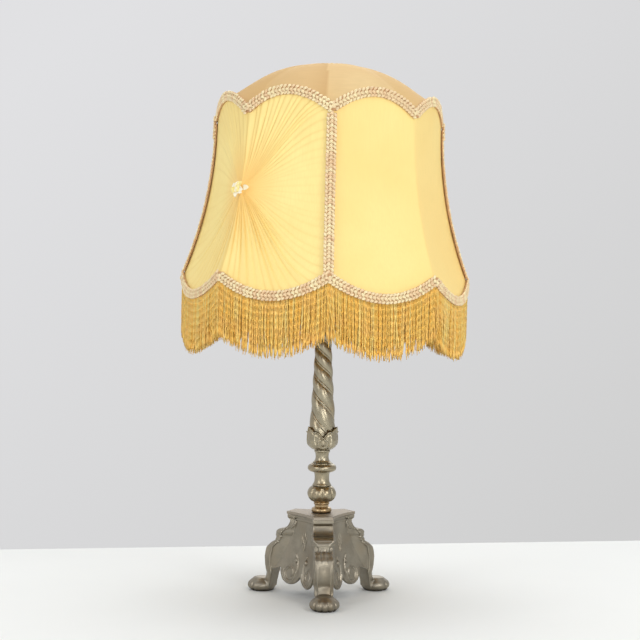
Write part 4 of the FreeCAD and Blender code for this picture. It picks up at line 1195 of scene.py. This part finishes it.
def roundPiece(name, node, around, rows, reach):
    # reach(degrees, v) gives a radius and a height; the first and last rows close on the axis
    def place(u, v):
        radius, height = reach(360 * u, v)
        return polar(radius, 360 * u + 90, height)
    obj = gridPiece(name, around, rows, place)
    mergeDoubles(obj)
    faceOutwards(obj)
    smoothShade(obj, 60)
    finishPiece(obj, "stand", nickel, node)


columnForm = {
    "foot": 222.5, "head": 397.5, "footReach": 17.4, "headReach": 9.3, "slope": 0.74,
    "footSlope": 0.28, "grooveAt": 0.07, "groove": 0.15, "bead": 0.085, "strands": 3,
    "sunk": 17.0, "sunkReach": 15.4, "around": 168, "rows": 330,
}


def columnProfile(b, s):
    # height of the surface over the groove's floor; b is 0 on a strand's border, 0.5 mid-strand
    if b < s["grooveAt"]:
        return s["bead"] * math.cos(math.pi / 2 * b / s["grooveAt"]) ** 0.7
    return s["groove"] * math.sin(math.pi / 2 * (b - s["grooveAt"]) / (0.5 - s["grooveAt"])) ** 0.6


def makeColumn(s):
    # its foot stands down inside the leaf cup
    rows, low = s["rows"], s["foot"] - s["sunk"]

    def columnReach(height):
        share = (height - s["foot"]) / (s["head"] - s["foot"])
        if share < 0:
            return mix(s["footReach"], s["sunkReach"], smoothStep(0, s["sunk"], s["foot"] - height))
        return mix(s["headReach"], s["footReach"], (1 - share) ** 1.5)
    step = (s["head"] - low) / rows
    twists = [0.0]
    for row in range(rows):
        height = low + step * (row + 0.5)
        share = max(0.0, (height - s["foot"]) / (s["head"] - s["foot"]))
        slope = s["slope"] + s["footSlope"] * (1 - share) ** 4
        twists.append(twists[-1] + step / columnReach(height) / slope)
    start = twists[round(s["sunk"] / step)]

    def reach(degrees, v):
        height = mix(low, s["head"], v)
        if v in (0.0, 1.0):
            return 0.0, height
        turned = math.radians(degrees + 90) + twists[round(v * rows)] - start
        lap = (turned * s["strands"] / (2 * math.pi)) % 1
        fluted = columnProfile(min(lap, 1 - lap), s) - s["groove"]
        return columnReach(height) * (1 + fluted * smoothStep(1, 0.985, v)), height
    roundPiece("twisted_column_cast", "twisted_column", s["around"], rows, reach)


cupForm = {
    # heights with the wall's radius, then ways round from a shield's middle with the wall's top
    "low": 192.5, "wall": ((0, 10.0), (1.2, 13.5), (4, 17.0), (8, 19.0), (13, 19.8), (19, 19.6),
                           (25, 19.4), (29, 20.4), (33, 22.4)),
    "rim": ((0, 17.5), (2.5, 19.5), (6.5, 24.0), (10, 24.6), (14, 24.6), (17, 27.5), (21, 31.5)),
    "sunkReach": 14.4, "floor": 4.0, "bore": 8.0, "front": 3.3, "dropRise": 9.0, "dropHalf": 6.0,
    "wallRows": 0.66,  # the outer wall's share of the rows; the rest line the cup and close it
    "around": 240, "rows": 90,
}


def makeCup(s):
    # three flaring leaf tips, and between them three two-lobed shields with a drop each
    heights, radii = zip(*s["wall"])
    arcs, tops = zip(*s["rim"])

    def reach(degrees, v):
        off = (degrees + 90 - s["front"] + 60) % 120 - 60
        arc = abs(math.radians(off)) * 20
        tall = np.interp(arc, arcs, tops)
        if v in (0.0, 1.0):
            return 0.0, s["low"] + s["floor"] * v
        height = tall * min(1.0, v / s["wallRows"])
        below = tall - height
        lift = ridge(below - 0.6, 1.2) - 0.6 * ridge(below - 3.2, 1.3)
        rise = (height - s["dropRise"]) / (7.5 if height > s["dropRise"] else 7.0)
        pinch = 1 - 0.55 * smoothStep(0.2, 1.1, rise)
        drop = math.hypot(arc / (s["dropHalf"] * pinch), rise)
        lift += 1.5 * ridge(drop - 1.0, 0.2) - 0.8 * ridge(drop - 0.6, 0.25)
        scroll = arc - (12.5 - 0.03 * (height - 15) ** 2)
        lift += 1.1 * ridge(scroll, 1.1) * smoothStep(2.0, 7.0, height)
        radius = np.interp(height, heights, radii) + lift * smoothStep(0, 2.5, height)
        if v > s["wallRows"]:
            inner = (v - s["wallRows"]) / (1 - s["wallRows"])
            ledge = mix(radius, s["sunkReach"], smoothStep(0, 0.5, inner))
            radius = mix(ledge, s["bore"], inner ** 4)
            down = 0.07 * smoothStep(0.05, 0.5, inner) + 0.93 * inner ** 4
            height = mix(height, s["floor"], down)
        return radius, s["low"] + height
    roundPiece("leaf_cup_cast", "leaf_cup", s["around"], s["rows"], reach)


knopForm = {
    "low": 125.0, "tall": 20.4, "end": 11.8, "belly": 19.5, "lobes": 8, "depth": 0.115,
    "turn": 3.3, "around": 192, "rows": 60,
}


def makeKnop(s):
    # bulging lobes with pointed creases between them
    def reach(degrees, v):
        if v in (0.0, 1.0):
            return 0.0, s["low"] + s["tall"] * v
        share = smoothStep(0, 1, v)
        bulge = math.sin(math.pi * share) ** 0.62
        lap = ((degrees + 90 - s["turn"]) * s["lobes"] / 360) % 1
        crown = abs(math.sin(math.pi * lap)) ** 0.55
        ends = smoothStep(0.0, 0.22, share) * smoothStep(1.0, 0.78, share)
        crease = (1 - crown) * s["depth"] * ends
        cusp = 0.6 * ridge(share - 0.86, 0.05) * (1 - crown)
        radius = mix(s["end"], s["belly"], bulge) * (1 - crease) + cusp
        return radius, s["low"] + s["tall"] * share
    roundPiece("gadrooned_knop_cast", "gadrooned_knop", s["around"], s["rows"], reach)


# turned necks and the ring between the castings, as radius and height, corners rounded off
turnedForms = {
    "lower_neck": ((0, 145.4), (12.6, 145.4), (12.6, 146.6), (11.2, 148.4), (9.9, 151.5),
                   (9.5, 156), (9.7, 160), (10.4, 162.8), (10.8, 163.8), (0, 163.8)),
    "ring_knop": ((0, 163.4), (10.4, 163.4), (14.6, 163.8), (18.4, 166.2), (19.1, 169.8),
                  (17.4, 172.8), (14.6, 174.2), (14.0, 174.3), (13.9, 175.6), (0, 175.9)),
    "upper_neck": ((0, 175.2), (13.2, 175.6), (11.4, 176.8), (9.4, 179.0), (8.5, 183), (8.8, 187),
                   (9.6, 189.6), (10.4, 190.0), (10.4, 192.2), (9.8, 192.8), (0, 192.8)),
}


def makeTurned(node, points):
    # corners cut three times, with both ends kept on the axis
    for _ in range(3):
        cut = [points[0]]
        for a, b in zip(points, points[1:]):
            cut += [(mix(a[0], b[0], t), mix(a[1], b[1], t)) for t in (0.25, 0.75)]
        points = cut + [points[-1]]
    rows = len(points) - 1
    roundPiece(node + "_turned", node, 96, rows, lambda degrees, v: points[round(v * rows)])


makeColumn(columnForm)
makeCup(cupForm)
makeKnop(knopForm)
for turnedNode, turnedPoints in turnedForms.items():
    makeTurned(turnedNode, turnedPoints)
print("stem castings ready")


# finishes of the pieces that keep their form

slotFinishes = {
    "bronze_casting": bronze, "nickelled_stem": nickel, "brass_fittings": warmBrass,
    "plated_steel": plated, "holder_brass": holderBrass, "porcelain": porcelain,
    "dark_plastic": darkPlastic, "bulb_glass": clearGlass, "frame_wire": wireCream,
    "side_silk": sideSilk, "crown_silk": shadedCrownSilk, "gimp_braid": gimp,
    "silk_fringe": fringeYarn, "ribbon": creamRibbon,
}

# the plate gets the darker copy of the bronze, painted shade
nodeFinishes = {"base_top_plate": shadedPlateBronze}

for subpart in frame["record"]["subparts"]:
    node = frame["nodes"][subpart["node"]]
    node.data.materials.clear()
    node.data.materials.append(nodeFinishes.get(subpart["node"])
                               or slotFinishes[subpart["material_slot"]])
    smoothShade(node, 35)
print("finishes ready")
